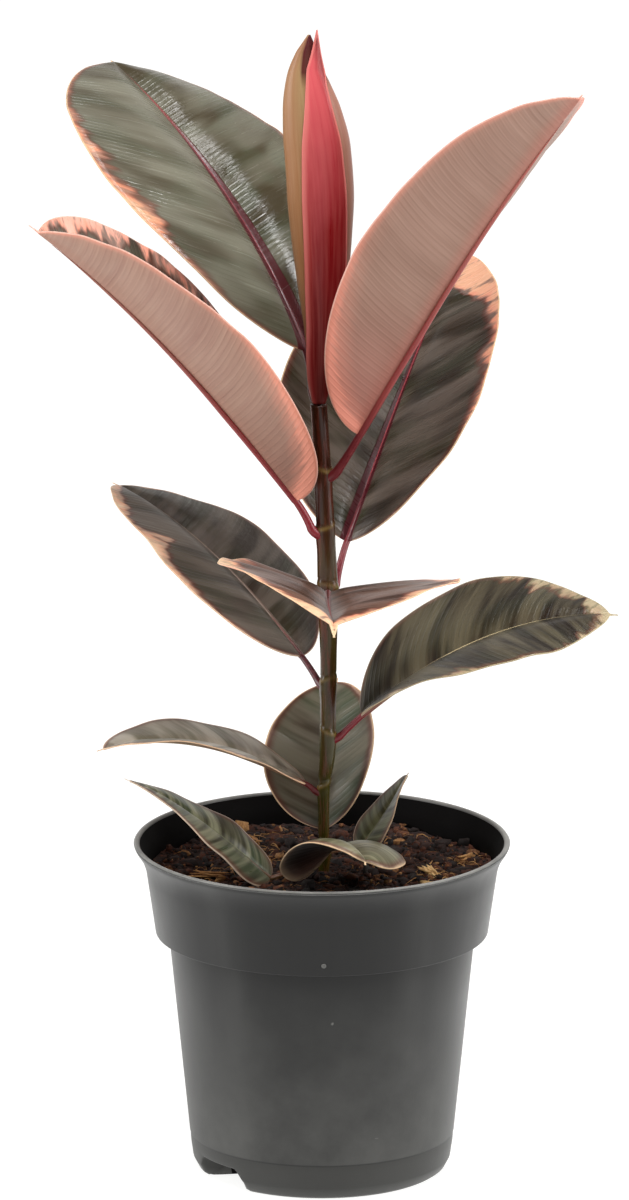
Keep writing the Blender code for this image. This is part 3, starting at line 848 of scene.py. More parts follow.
# ---- leaves
@dataclass(frozen=True)
class Leaf:
    """Where one leaf leaves the stem, how its blade is bent, and its skin. Metres and degrees."""

    name: str
    height: float             # of the petiole's foot on the stem
    azimuth: float            # of the blade at its start
    petiole: float            # length
    petiole_rise: float       # above level, at the stem
    length: float             # of the blade
    half_width: float
    rise: float               # above level, at the blade's start
    tip_rise: float           # above level, at the tip
    droop: float              # 1 bends evenly, more bends late
    skin: LeafSkin
    curl: float               # extra lift from midrib to edge, never 0
    widest: float             # share of the length
    fold: float               # lift of each half, at the start
    tip_fold: float
    roll: float               # about the midrib, at the start
    tip_roll: float
    turn: float = 0.0         # change of azimuth along the blade
    swing: float = 0.0        # azimuth of the petiole's foot less that of the blade
    knee: float = 0.0         # bend between petiole and blade
    lopsided: float = 0.0     # share by which the right half is wider
    hook: float = 0.0         # extra rise of the drip tip
    wave: float = 0.0006      # height of the margin's waves
    waves: float = 2.6        # number of them
    pucker: float = 0.0006    # height of the soft swellings between the main side veins
    valley: float = 0.0012    # how far the blade dips along its midrib
    point: float = 0.0        # share of the width that the tip end loses
    drip: float = 0.03        # share of the length in the narrow tip
    drip_width: float = 0.05  # its half width at its start, as a share of the blade's

    FULLNESS = 0.60           # smaller makes the blade squarer at both ends
    THICK = 0.0010            # blade at the midrib
    EDGE = 0.0005             # blade at the margin
    NARROWEST = 0.0004        # half width at the blade's very ends
    GROOVE = 0.0004           # depth of the groove over the midrib
    GROOVE_WIDTH = 0.0016
    VEIN_SLANT = 0.32         # how far a side vein runs forwards for each step outwards
    VEIN_BEND = 0.15          # and how much more near the margin
    SWELLING = 0.012          # size of the soft swellings
    GAP = 0.0003              # between stem and stalk
    FINE_STEPS = 240
    ROWS = 150
    COLUMNS = 45
    STALK_ROWS = 22
    STALK_COLUMNS = 14

    def outline(self, along: Array) -> Array:
        """Give the half width as a share of its greatest.

        With b = along to the power that puts the widest place right, it is (4 b (1 - b)) to the
        fullness, slimmed by a soft step near the tip. In the drip tip a thin taper is wider.

        Args:
            along: shares of the blade's length.

        Returns:
            The half widths there.
        """
        body = np.clip(along / (1 - self.drip), 0, 1) ** (np.log(0.5) / np.log(self.widest))
        tip = self.drip_width * np.clip((1 - along) / (4 * self.drip), 0, 1) ** 0.8
        slim = 1 - self.point * soft_step(along, 0.70, 1.0)
        return np.maximum(np.clip(4 * body * (1 - body), 0, 1) ** self.FULLNESS * slim,
                          tip * (along > 0.5))

    def walk(self, start: Array, length: float, shares: Array, rise: Callable[[Array], Array],
             azimuth: Callable[[Array], Array]) -> Array:
        """Add up small steps whose direction follows rise and azimuth, and read the path.

        Args:
            start: first point.
            length: length of the whole path.
            shares: places to read, from 0 to 1.
            rise: rise in degrees at a share of the length.
            azimuth: azimuth in degrees at a share of the length.

        Returns:
            Points (n, 3).
        """
        middles = (np.arange(self.FINE_STEPS) + 0.5) / self.FINE_STEPS
        steps = direction(rise(middles), azimuth(middles)) * length / self.FINE_STEPS
        points = np.vstack((start, start + np.cumsum(steps, axis=0)))
        knots = np.linspace(0, 1, self.FINE_STEPS + 1)
        return np.column_stack([np.interp(shares, knots, line) for line in points.T])

    def blade_rise(self, share: Array) -> Array:
        """Give the blade's rise, from rise to tip_rise with the share to the droop, and the hook."""
        hooked = self.hook * np.clip(1 - (1 - share) / (2 * self.drip), 0, 1)
        return self.rise + (self.tip_rise - self.rise) * share ** self.droop + hooked

    def blade_azimuth(self, share: Array) -> Array:
        """Give the blade's azimuth, which turns evenly along it."""
        return self.azimuth + self.turn * share

    def stalk_radius(self) -> float:
        """Give the stalk's radius at its foot, which grows with the blade."""
        return 0.0008 + 0.006 * self.length

    def root(self, stem: Stem) -> tuple[Array, Array, float]:
        """Find the stem's axis beside the stalk, the stalk's way out, and the stem's radius."""
        shift, radius = stem.at(self.height)
        return np.array((shift, 0.0, self.height)), heading(self.azimuth + self.swing), radius

    def petiole_path(self, stem: Stem, shares: Array) -> Array:
        """Lay out the stalk's middle line, whose rise and azimuth change evenly along it.

        Args:
            stem: the stem it grows from.
            shares: places to read, from 0 to 1.

        Returns:
            Points from just outside the stem to the blade's foot.
        """
        axis, outward, stem_radius = self.root(stem)
        radius = self.stalk_radius()
        elbow = 1.2 * radius * np.sin(np.radians(max(self.petiole_rise, 0))) * UP
        start = axis + elbow + outward * (stem_radius + self.GAP + 1.15 * radius)
        bend = self.rise - self.knee - self.petiole_rise
        return self.walk(start, self.petiole, shares, lambda s: self.petiole_rise + bend * s,
                         lambda s: self.azimuth + self.swing * (1 - s))

    def frames(self, along: Array) -> tuple[Array, Array]:
        """Give the side and normal of the blade's sections, rolled about its tangent.

        Args:
            along: shares of the blade's length.

        Returns:
            Unit vectors to the side and out of the upper face.
        """
        azimuth = self.blade_azimuth(along)
        level = heading(azimuth + 90)
        upward = np.cross(direction(self.blade_rise(along), azimuth), level)
        roll = np.radians(self.roll + (self.tip_roll - self.roll) * along)[:, None]
        return (np.cos(roll) * level + np.sin(roll) * upward,
                np.cos(roll) * upward - np.sin(roll) * level)

    def blade(self, foot: Array) -> tuple[Shell, Array, Array, Array]:
        """Build the blade as rings that run over the top, round one edge and back below.

        Across a section the slope grows evenly from fold at the midrib to fold + curl at the
        edge, so a point at share v of the half width h lies h (sin(fold + curl v) - sin fold) /
        curl to the side and h (cos fold - cos(fold + curl v)) / curl up. The margin waves as
        v^2 times a sine of the length, soft swellings run along the side veins, and the blade
        dips at the midrib by a bell curve of the distance, with a narrow groove in it.

        Args:
            foot: the blade's first point.

        Returns:
            The shell, the midrib's points, the normals there, and the shares along.
        """
        along = (1 - np.cos(np.pi * np.linspace(0, 1, self.ROWS))) / 2
        even = np.linspace(-1, 1, self.COLUMNS)
        hand, out, down = np.sign(even), np.abs(even) ** 1.5, along[:, None]
        middle = self.walk(foot, self.length, along, self.blade_rise, self.blade_azimuth)
        side, normal = self.frames(along)
        width = np.maximum(self.half_width * self.outline(down), self.NARROWEST)
        small, half = np.minimum(1, width / 0.02), width * (1 + self.lopsided * hand)
        fold = np.radians(self.fold + (self.tip_fold - self.fold) * down)
        curl = np.radians(self.curl)
        angle = fold + curl * out
        sideways = hand * half * (np.sin(angle) - np.sin(fold)) / curl
        lift = half * (np.cos(fold) - np.cos(angle)) / curl
        distance = half * hand * out
        ripple = (self.wave * small * out ** 2
                  * np.sin(2 * np.pi * self.waves * down + 0.5 * hand + self.skin.seed))
        groove = -self.GROOVE * bell(distance, self.GROOVE_WIDTH) * (1 - down)
        valley = self.valley * np.minimum(1, width / 0.04) * (
            1 - bell(distance, 0.16 * width) - soft_step(out, 0.2, 1.0))
        vein = (down * self.length - self.VEIN_SLANT * np.abs(distance)
                - self.VEIN_BEND * distance ** 2 / width)
        lumps = lattice_noise(vein + 1.0, 0.30 * distance + 1.0, self.SWELLING,
                              int(self.skin.seed))
        ripple = ripple + valley + self.pucker * soft_step(out, 0.02, 0.35) * lumps * small
        thick = np.minimum(self.THICK + (self.EDGE - self.THICK) * out, 0.7 * width) / 2

        across, above = side[:, None], normal[:, None]
        sine, cosine = np.sin(angle)[..., None], np.cos(angle)[..., None]
        place = middle[:, None] + sideways[..., None] * across + lift[..., None] * above
        facing = cosine * above - hand[:, None] * sine * across
        beyond = sine * above + hand[:, None] * cosine * across
        rings = wrap(place + (ripple + thick + groove)[..., None] * facing,
                     place + ripple[..., None] * facing + thick[..., None] * beyond,
                     place + (ripple - thick)[..., None] * facing)
        minus, plus = smooth_curves(self.skin.margin, down)
        grid = np.stack((vein, distance, half * (1 - out), np.where(hand < 0, minus, plus)), -1)
        grid = wrap(grid, grid, grid)
        values = {"leaf_place": grid[..., :3], "leaf_along": down[..., None],
                  "leaf_margin": grid[..., 3:]}
        under = (np.arange(rings.shape[1]) > self.COLUMNS).astype(int)
        return loft(rings, values, under), middle, normal, along

    def stalk(self, stem: Stem, petiole: Array, middle: Array, normal: Array,
              along: Array) -> Shell:
        """Build stalk and midrib as one tapering tube.

        It starts inside the stem with a swollen foot, follows the petiole, and sinks below the
        blade by a growing share of its own radius, so that it shows most on the underside.

        Args:
            stem: the stem it grows from.
            petiole: the petiole's middle line.
            middle: the midrib's points.
            normal: the blade's normals there.
            along: shares of the blade's length.

        Returns:
            The closed tube.
        """
        axis, outward, stem_radius = self.root(stem)
        radius = self.stalk_radius()
        inner = axis + outward * np.array([[0.35], [0.8]]) * stem_radius - 0.4 * radius * UP
        rib = slice(2, -26, 2)
        share = along[rib]
        sink = radius * (1 - 0.75 * share) * np.clip(0.1 + 3.0 * share, 0, 0.95)
        path = np.vstack((inner, petiole, middle[rib] - normal[rib] * sink[:, None]))
        path[1:-1] = 0.25 * path[:-2] + 0.5 * path[1:-1] + 0.25 * path[2:]
        upward = np.vstack((UP, UP, np.repeat(normal[:1], len(petiole), axis=0), normal[rib]))
        places = np.concatenate(((-1.0, -1.0), np.linspace(-0.9, 0, len(petiole)), share))
        thin = radius * np.where(places < 0, 1 - 0.15 * (places + 1), 0.85 * (1 - 0.78 * places))
        thin *= 1 + 0.25 * bell(places + 1.0, 0.16)
        thin *= np.sqrt(1 - 0.97 * soft_step(places, 0.70, share[-1]))
        down, turn = places[:, None], np.arange(self.STALK_COLUMNS) / self.STALK_COLUMNS
        grid = np.stack(np.broadcast_arrays(down * 0.05, turn * 0.006, 0.01), -1)
        values = {"leaf_place": grid, "leaf_along": down[..., None], "leaf_margin": np.zeros(1)}
        return loft(tube(path, thin, upward, self.STALK_COLUMNS), values, 2)

    def build(self, stem: Stem) -> Piece:
        """Build the whole leaf as one piece: blade, midrib and stalk.

        Args:
            stem: the stem it grows from.

        Returns:
            The piece.
        """
        petiole = self.petiole_path(stem, np.linspace(0, 1, self.STALK_ROWS))
        blade, *rib = self.blade(petiole[-1])
        skin, name = self.skin, self.name
        finishes = [skin.upper(name), skin.underside(name), skin.stalk(name)]
        shells = [blade, self.stalk(stem, petiole, *rib)]
        return make_piece(f"{name}_grown", shells, finishes, name)


LEAVES: tuple[Leaf, ...] = (
    Leaf("upper_left_leaf", 0.358, -147, 0.019, 90, 0.195, 0.0595, 57, 17, 0.6, roll=7, tip_roll=9,
         fold=14, tip_fold=7, curl=-14, widest=0.54, swing=-4, lopsided=0.07, valley=0.002, drip=0.01,
         skin=LeafSkin(3.1,
             margin=((0.0, 0.0002, 0.0004), (0.25, 0.0002, 0.0028), (0.38, 0.0002, 0.0085),
                     (0.5, 0.0002, 0.0105), (0.62, 0.0002, 0.004), (0.85, 0.0003, 0.0012),
                     (1.0, 0.0008, 0.001)),
             dark="#413826", moss="#454532", pale="#878474", bands_and_sheen=0.56, gloss=0.18, band_size=0.028,
             rib_width=0.46, rib="#4e121c", rib_tip="#a8604e", rib_core="#8c464e", ragged=0.005,
             blur=0.0014, wash="#8e7668", painted_side_light=0.15)),
    Leaf("upper_right_leaf", 0.323, 60, 0.023, 55, 0.203, 0.052, 60, 52, 1.3, turn=3, roll=-8,
         tip_roll=-17, fold=26, tip_fold=19, curl=10, widest=0.51, drip=0.012,
         skin=LeafSkin(7.7,
             margin=((0.0, 0.011, 0.004), (0.15, 0.0075, 0.003), (0.35, 0.0035, 0.003),
                     (0.6, 0.0008, 0.003), (1.0, 0.001, 0.006)),
             petiole="#5c101a", rib="#8e3a36", rib_tip="#a85e50", pink="#e6907a", cream="#f0ccbe",
             under="#927060", under_deep="#7c5848", under_foot="#a4665a")),
    Leaf("left_spread_leaf", 0.296, -67, 0.017, 68, 0.188, 0.052, 54, 39, 1.3, turn=-4, roll=-9,
         tip_roll=-2, fold=25, tip_fold=26, curl=14, widest=0.48,
         skin=LeafSkin(12.3,
             margin=((0.0, 0.016, 0.013), (0.3, 0.007, 0.006), (0.6, 0.006, 0.0008),
                     (0.8, 0.01, 0.0008), (1.0, 0.014, 0.002)),
             petiole="#7c1824", rib="#8e3434", rib_tip="#9c6a58", pink="#f2987e", cream="#f4d0c0",
             ragged=0.008, dark="#2c2418", islands=0.9, under="#a07a66", under_deep="#885c4e",
             under_foot="#7c4c3a", blur=0.001)),
    Leaf("right_back_leaf", 0.268, 147, 0.021, 75, 0.154, 0.055, 54, 43, 1.2, turn=3, roll=7,
         tip_roll=-11, fold=25, tip_fold=9, curl=3, widest=0.51, pucker=0.0011, valley=0.002,
         skin=LeafSkin(17.9,
             margin=((0.0, 0.0002, 0.0002), (0.3, 0.0003, 0.0003), (0.45, 0.003, 0.0003),
                     (0.6, 0.0055, 0.0004), (0.75, 0.011, 0.002), (0.85, 0.022, 0.009),
                     (1.0, 0.03, 0.018)),
             dark="#2c2218", moss="#323020", pale="#70645a", petiole="#6a101e", pink="#e08c74",
             ragged=0.004, rib="#48101a", rib_core="#a84850", rib_width=0.34, islands=0.95, gloss=0.26,
             band_size=0.014, bands_and_sheen=0.7, blur=0.0014, wash="#6c5c54")),
    Leaf("front_leaf", 0.261, 0, 0.025, 56, 0.15, 0.057, 8, 13, 1.3, turn=2, roll=-7, tip_roll=-5,
         fold=23, tip_fold=28, curl=-12, widest=0.51, lopsided=0.05, hook=-45, drip=0.06,
         drip_width=0.11, wave=0.001, waves=1.7, pucker=0.0012,
         skin=LeafSkin(25.1,
             margin=((0.0, 0.001, 0.001), (0.3, 0.005, 0.003), (0.6, 0.01, 0.006), (0.85, 0.014, 0.01),
                     (1.0, 0.022, 0.02)),
             dark="#3c261c", moss="#463024", pale="#785a4c", blush="#7c3a2c", wash="#8a6a5a",
             creaminess=0.7, islands=0.9, ragged=0.009, rib="#6a2a28", rib_tip="#d08070", blur=0.0016)),
    Leaf("middle_left_leaf", 0.224, -135, 0.015, 48, 0.131, 0.044, 38, 13, 1.5, turn=7, roll=6,
         tip_roll=12, fold=7, tip_fold=11, curl=-9, widest=0.51, valley=0.0018,
         skin=LeafSkin(29.2,
             margin=((0.0, 0.0002, 0.0012), (0.3, 0.0003, 0.0016), (0.46, 0.0003, 0.0024),
                     (0.57, 0.0004, 0.0115), (0.66, 0.0004, 0.0036), (0.82, 0.0006, 0.005),
                     (0.93, 0.004, 0.011), (1.0, 0.012, 0.016)),
             dark="#2a1e14", moss="#302c1e", pale="#6e645a", bands_and_sheen=0.6, pink="#dc9c7c", cream="#ecd0b0",
             wash="#a09080", blur=0.0006, petiole="#340c18", rib="#6c5a50", rib_tip="#807062",
             rib_core="#a09084", rib_width=0.12, creaminess=0.8, band_size=0.012, ragged=0.005,
             gloss=0.36, painted_side_light=0.12)),
    Leaf("right_arching_leaf", 0.2, 88, 0.014, 47, 0.128, 0.047, 42, -4, 1.3, turn=5, roll=7,
         tip_roll=12, fold=24, tip_fold=0, curl=-5, widest=0.51, point=0.3,
         skin=LeafSkin(35.6,
             margin=((0.0, 0.006, 0.0002), (0.35, 0.0055, 0.0002), (0.55, 0.0006, 0.0003),
                     (0.7, 0.0006, 0.005), (0.8, 0.003, 0.012), (0.9, 0.007, 0.015),
                     (1.0, 0.016, 0.018)),
             dark="#1e150c", moss="#28261a", pale="#706852", petiole="#6e1824", rib="#8c7c60",
             rib_tip="#b0a078", rib_core="#c8b890", rib_width=0.08, creaminess=0.7, pink="#a8866c",
             cream="#b6aa88", wash="#645e46", gloss=0.3, band_size=0.0095, bands_and_sheen=0.52, islands=0.95,
             ragged=0.012, blur=0.0024)),
    Leaf("left_low_leaf", 0.175, -90, 0.005, 45, 0.099, 0.027, 30, -17, 1.4, turn=10, roll=2,
         tip_roll=4, fold=11, tip_fold=13, curl=-4, widest=0.49,
         skin=LeafSkin(41.3,
             margin=((0.0, 0.0003, 0.0022), (0.5, 0.0004, 0.0024), (0.85, 0.001, 0.0018),
                     (1.0, 0.005, 0.005)),
             dark="#6a6254", moss="#686452", pale="#b4ac9e", relief=0.6, petiole="#5a1a1e",
             rib="#8a7458", rib_tip="#b8a888", rib_core="#c8b890", rib_width=0.05, under="#7c3e30",
             under_deep="#5c241c", band_size=0.01, creaminess=0.9, pink="#d8ac90", ragged=0.002)),
    Leaf("round_back_leaf", 0.147, 178, 0.009, 45, 0.073, 0.029, 60, 47, 1.3, turn=-11, roll=-20,
         tip_roll=-13, fold=25, tip_fold=14, curl=6, widest=0.47,
         skin=LeafSkin(47.8,
             margin=((0.0, 0.0008, 0.0006), (0.5, 0.0012, 0.001), (1.0, 0.0014, 0.001)),
             dark="#40372a", moss="#444c38", pale="#7a7464", relief=0.4, rib="#5a4a38",
             rib_tip="#7c6c50", rib_core="#8a7a60", rib_width=0.05, creaminess=0.9, band_size=0.008,
             pink="#cc9c84", ragged=0.002, rim=0.8)),
    Leaf("small_left_leaf", 0.145, -81, 0.029, -4, 0.083, 0.017, 44, 24, 1.7, turn=-2, roll=-34,
         tip_roll=8, fold=8, tip_fold=7, curl=-11, widest=0.39, swing=54, knee=58, lopsided=0.05,
         wave=0.0004, pucker=0.0007,
         skin=LeafSkin(53.4,
             margin=((0.0, 0.0004, 0.0008), (0.5, 0.0004, 0.001), (1.0, 0.001, 0.0014)),
             dark="#323024", moss="#3e4832", pale="#8c8c72", band_size=0.005, relief=0.6, rib="#4c5038",
             rib_tip="#6c7054", rib_core="#7c8060", rib_width=0.04, creaminess=0.9, petiole="#5a4a2a",
             ragged=0.002, pink="#c0a48a", cream="#d4c4ac", rim=0.5)),
    Leaf("small_right_leaf", 0.147, 117, 0.014, 0, 0.041, 0.013, 48, 61, 1.3, turn=-9, roll=11,
         tip_roll=-15, fold=5, tip_fold=17, curl=-6, widest=0.41, knee=53, lopsided=-0.05, wave=0.0003,
         skin=LeafSkin(59.9,
             margin=((0.0, 0.0002, 0.0002), (1.0, 0.0003, 0.0003)),
             dark="#34361e", moss="#3c4428", pale="#7c8060", relief=0.6, rib="#5c6044",
             rib_tip="#7c8060", rib_core="#8c9070", rib_width=0.04, creaminess=0.9, band_size=0.0045,
             bands_and_sheen=0.9, petiole="#5a4a2a", ragged=0.001, pink="#c0b090", rim=0.3)),
    Leaf("small_front_leaf", 0.147, 21, 0.009, 34, 0.052, 0.031, 20, -12, 1.7, turn=-9, roll=20,
         tip_roll=-31, fold=6, tip_fold=28, curl=-57, widest=0.47, lopsided=-0.13, hook=-50,
         wave=0.0004, pucker=0.0004,
         # near-black underside colours: painted shade under the leaf's low arch
         skin=LeafSkin(65.1,
             margin=((0.0, 0.001, 0.001), (1.0, 0.0016, 0.0016)),
             dark="#545038", moss="#58593e", pale="#8e8a70", relief=0.5, rib="#6c6448",
             rib_tip="#a09070", rib_core="#b0a080", rib_width=0.05, under="#2c1a12",
             under_deep="#180e0a", creaminess=0.9, band_size=0.006, pink="#ccae8c", ragged=0.001,
             rim=0.8)),
)


# ---- bud
@dataclass(frozen=True)
class Bud:
    """The growing tip: a rolled young leaf, with a red sheath over its front."""

    stations: Rows = (                # height, sideways shift, half width
        (0.3566, -0.0014, 0.0016), (0.3640, -0.0012, 0.0036), (0.3780, -0.0006, 0.0062),
        (0.3950, 0.0000, 0.0088), (0.4150, 0.0000, 0.0118), (0.4350, -0.0004, 0.0140),
        (0.4550, -0.0009, 0.0153), (0.4750, -0.0023, 0.0152), (0.4920, -0.0046, 0.0133),
        (0.5040, -0.0065, 0.0102), (0.5120, -0.0074, 0.0072), (0.5180, -0.0072, 0.0047),
        (0.5230, -0.0062, 0.0024), (0.5262, -0.0058, 0.0007))
    edges: Rows = (                   # height, azimuths of both edges of the sheath
        (0.3566, -115, 120), (0.3640, -80, 100), (0.3780, -60, 75), (0.3950, -45, 62),
        (0.4150, -36, 55), (0.4350, -31, 50), (0.4550, -29, 46), (0.4750, -24, 44),
        (0.4920, -13, 43), (0.5040, -4, 50), (0.5120, 4, 76))
    shrink: Rows = ((0, 1.0), (0.35, 0.62), (0.7, 0.32), (1.0, 0.08))    # share of the tip, size
    tip: tuple[float, float, float] = (-0.0022, -0.0012, 0.5288)
    turns: tuple[float, float] = (-150, 209)                 # azimuths where the roll starts, ends
    depth: float = 0.62               # front-to-back size as a share of the width
    start_size: float = 0.965         # of the roll's inner end, as a share of the width
    growth: float = 0.05              # of that share, once round
    clearance: float = 0.0006         # between roll and sheath
    thick: float = 0.0009             # sheath at its middle
    flare: float = 0.0005             # how far the sheath's edges stand off
    rows: int = 120
    roll_columns: int = 72
    columns: int = 33
    tip_rows: int = 26

    def young_leaf(self, skin: BudSkin) -> Piece:
        """Build the rolled leaf.

        Its rings are ellipses whose radius grows by 5 % once round, so that a step, the free
        edge of the roll, runs up the back.

        Args:
            skin: its finish.

        Returns:
            The piece.
        """
        foot, top = self.stations[0][0], self.stations[-1][0]
        share = (1 - np.cos(np.pi * np.linspace(0, 1, self.rows)))[:, None] / 2
        height = foot + (top - foot) * share
        shift, width = smooth_curves(self.stations, height)
        start, end = self.turns
        azimuth = np.linspace(start, end, self.roll_columns)
        grown = width * (self.start_size + self.growth * (azimuth - start) / 360)
        rings = (heading(azimuth) * grown[..., None] * np.array((1.0, self.depth, 1.0))
                 + np.stack((shift, 0 * shift, height), -1))
        around = ((azimuth + 180) % 360 - 180) / 360
        seam = np.radians(np.minimum(azimuth - start, end - azimuth)) * width
        grid = np.stack(np.broadcast_arrays(height, around, seam), -1)
        return make_piece("young_leaf_rolled", [loft(rings, {"bud_place": grid})],
                          [skin.material()], "young_leaf")

    def sheath(self, skin: BudSkin) -> Piece:
        """Build the sheath as a thin shell over an arc of the rolled leaf.

        Up to the last station its rings follow the spindle's ellipse outside the clearance.
        Above it the last ring shrinks towards the tip. The shell thins to a third at both edges,
        and the edges stand off a little.

        Args:
            skin: its finish.

        Returns:
            The piece.
        """
        height = np.linspace(self.edges[0][0], self.edges[-1][0], self.rows)[:, None]
        left, right = smooth_curves(self.edges, height)
        shift, width = smooth_curves(self.stations, height)
        across = np.linspace(0, 1, self.columns)
        azimuth = left + (right - left) * across
        turn = np.radians(azimuth)
        near_edge = 1 - np.abs(2 * across - 1)
        inner = self.clearance + self.flare * (1 - soft_step(near_edge, 0, 0.25))
        outer = inner + self.thick * (0.3 + 0.7 * soft_step(near_edge, 0, 0.35))
        outside, inside = (np.stack((shift + (width + off) * np.sin(turn),
                                     -(width * self.depth + off) * np.cos(turn),
                                     height + 0 * turn), -1) for off in (outer, inner))
        rings = np.concatenate((outside, inside[:, ::-1]), axis=1)
        share = np.linspace(0, 1, self.tip_rows)[1:, None]
        scale = smooth_curves(self.shrink, share)[0]
        middle = rings[-1].mean(axis=0)
        top = (middle + (np.array(self.tip) - middle) * share[..., None]
               + (rings[-1] - middle) * scale[..., None])
        rings = np.concatenate((rings, top))
        gap = near_edge / 2 * np.radians(right - left) * width
        gap = np.concatenate((gap, gap[-1] * scale))
        around = np.concatenate((azimuth, azimuth[-1:].repeat(len(share), axis=0))) / 360
        grid = np.stack((rings[:, :self.columns, 2], around, gap), -1)
        shell = loft(rings, {"bud_place": np.concatenate((grid, grid[:, ::-1]), axis=1)})
        return make_piece("bud_sheath_red", [shell], [skin.material()], "bud_sheath")


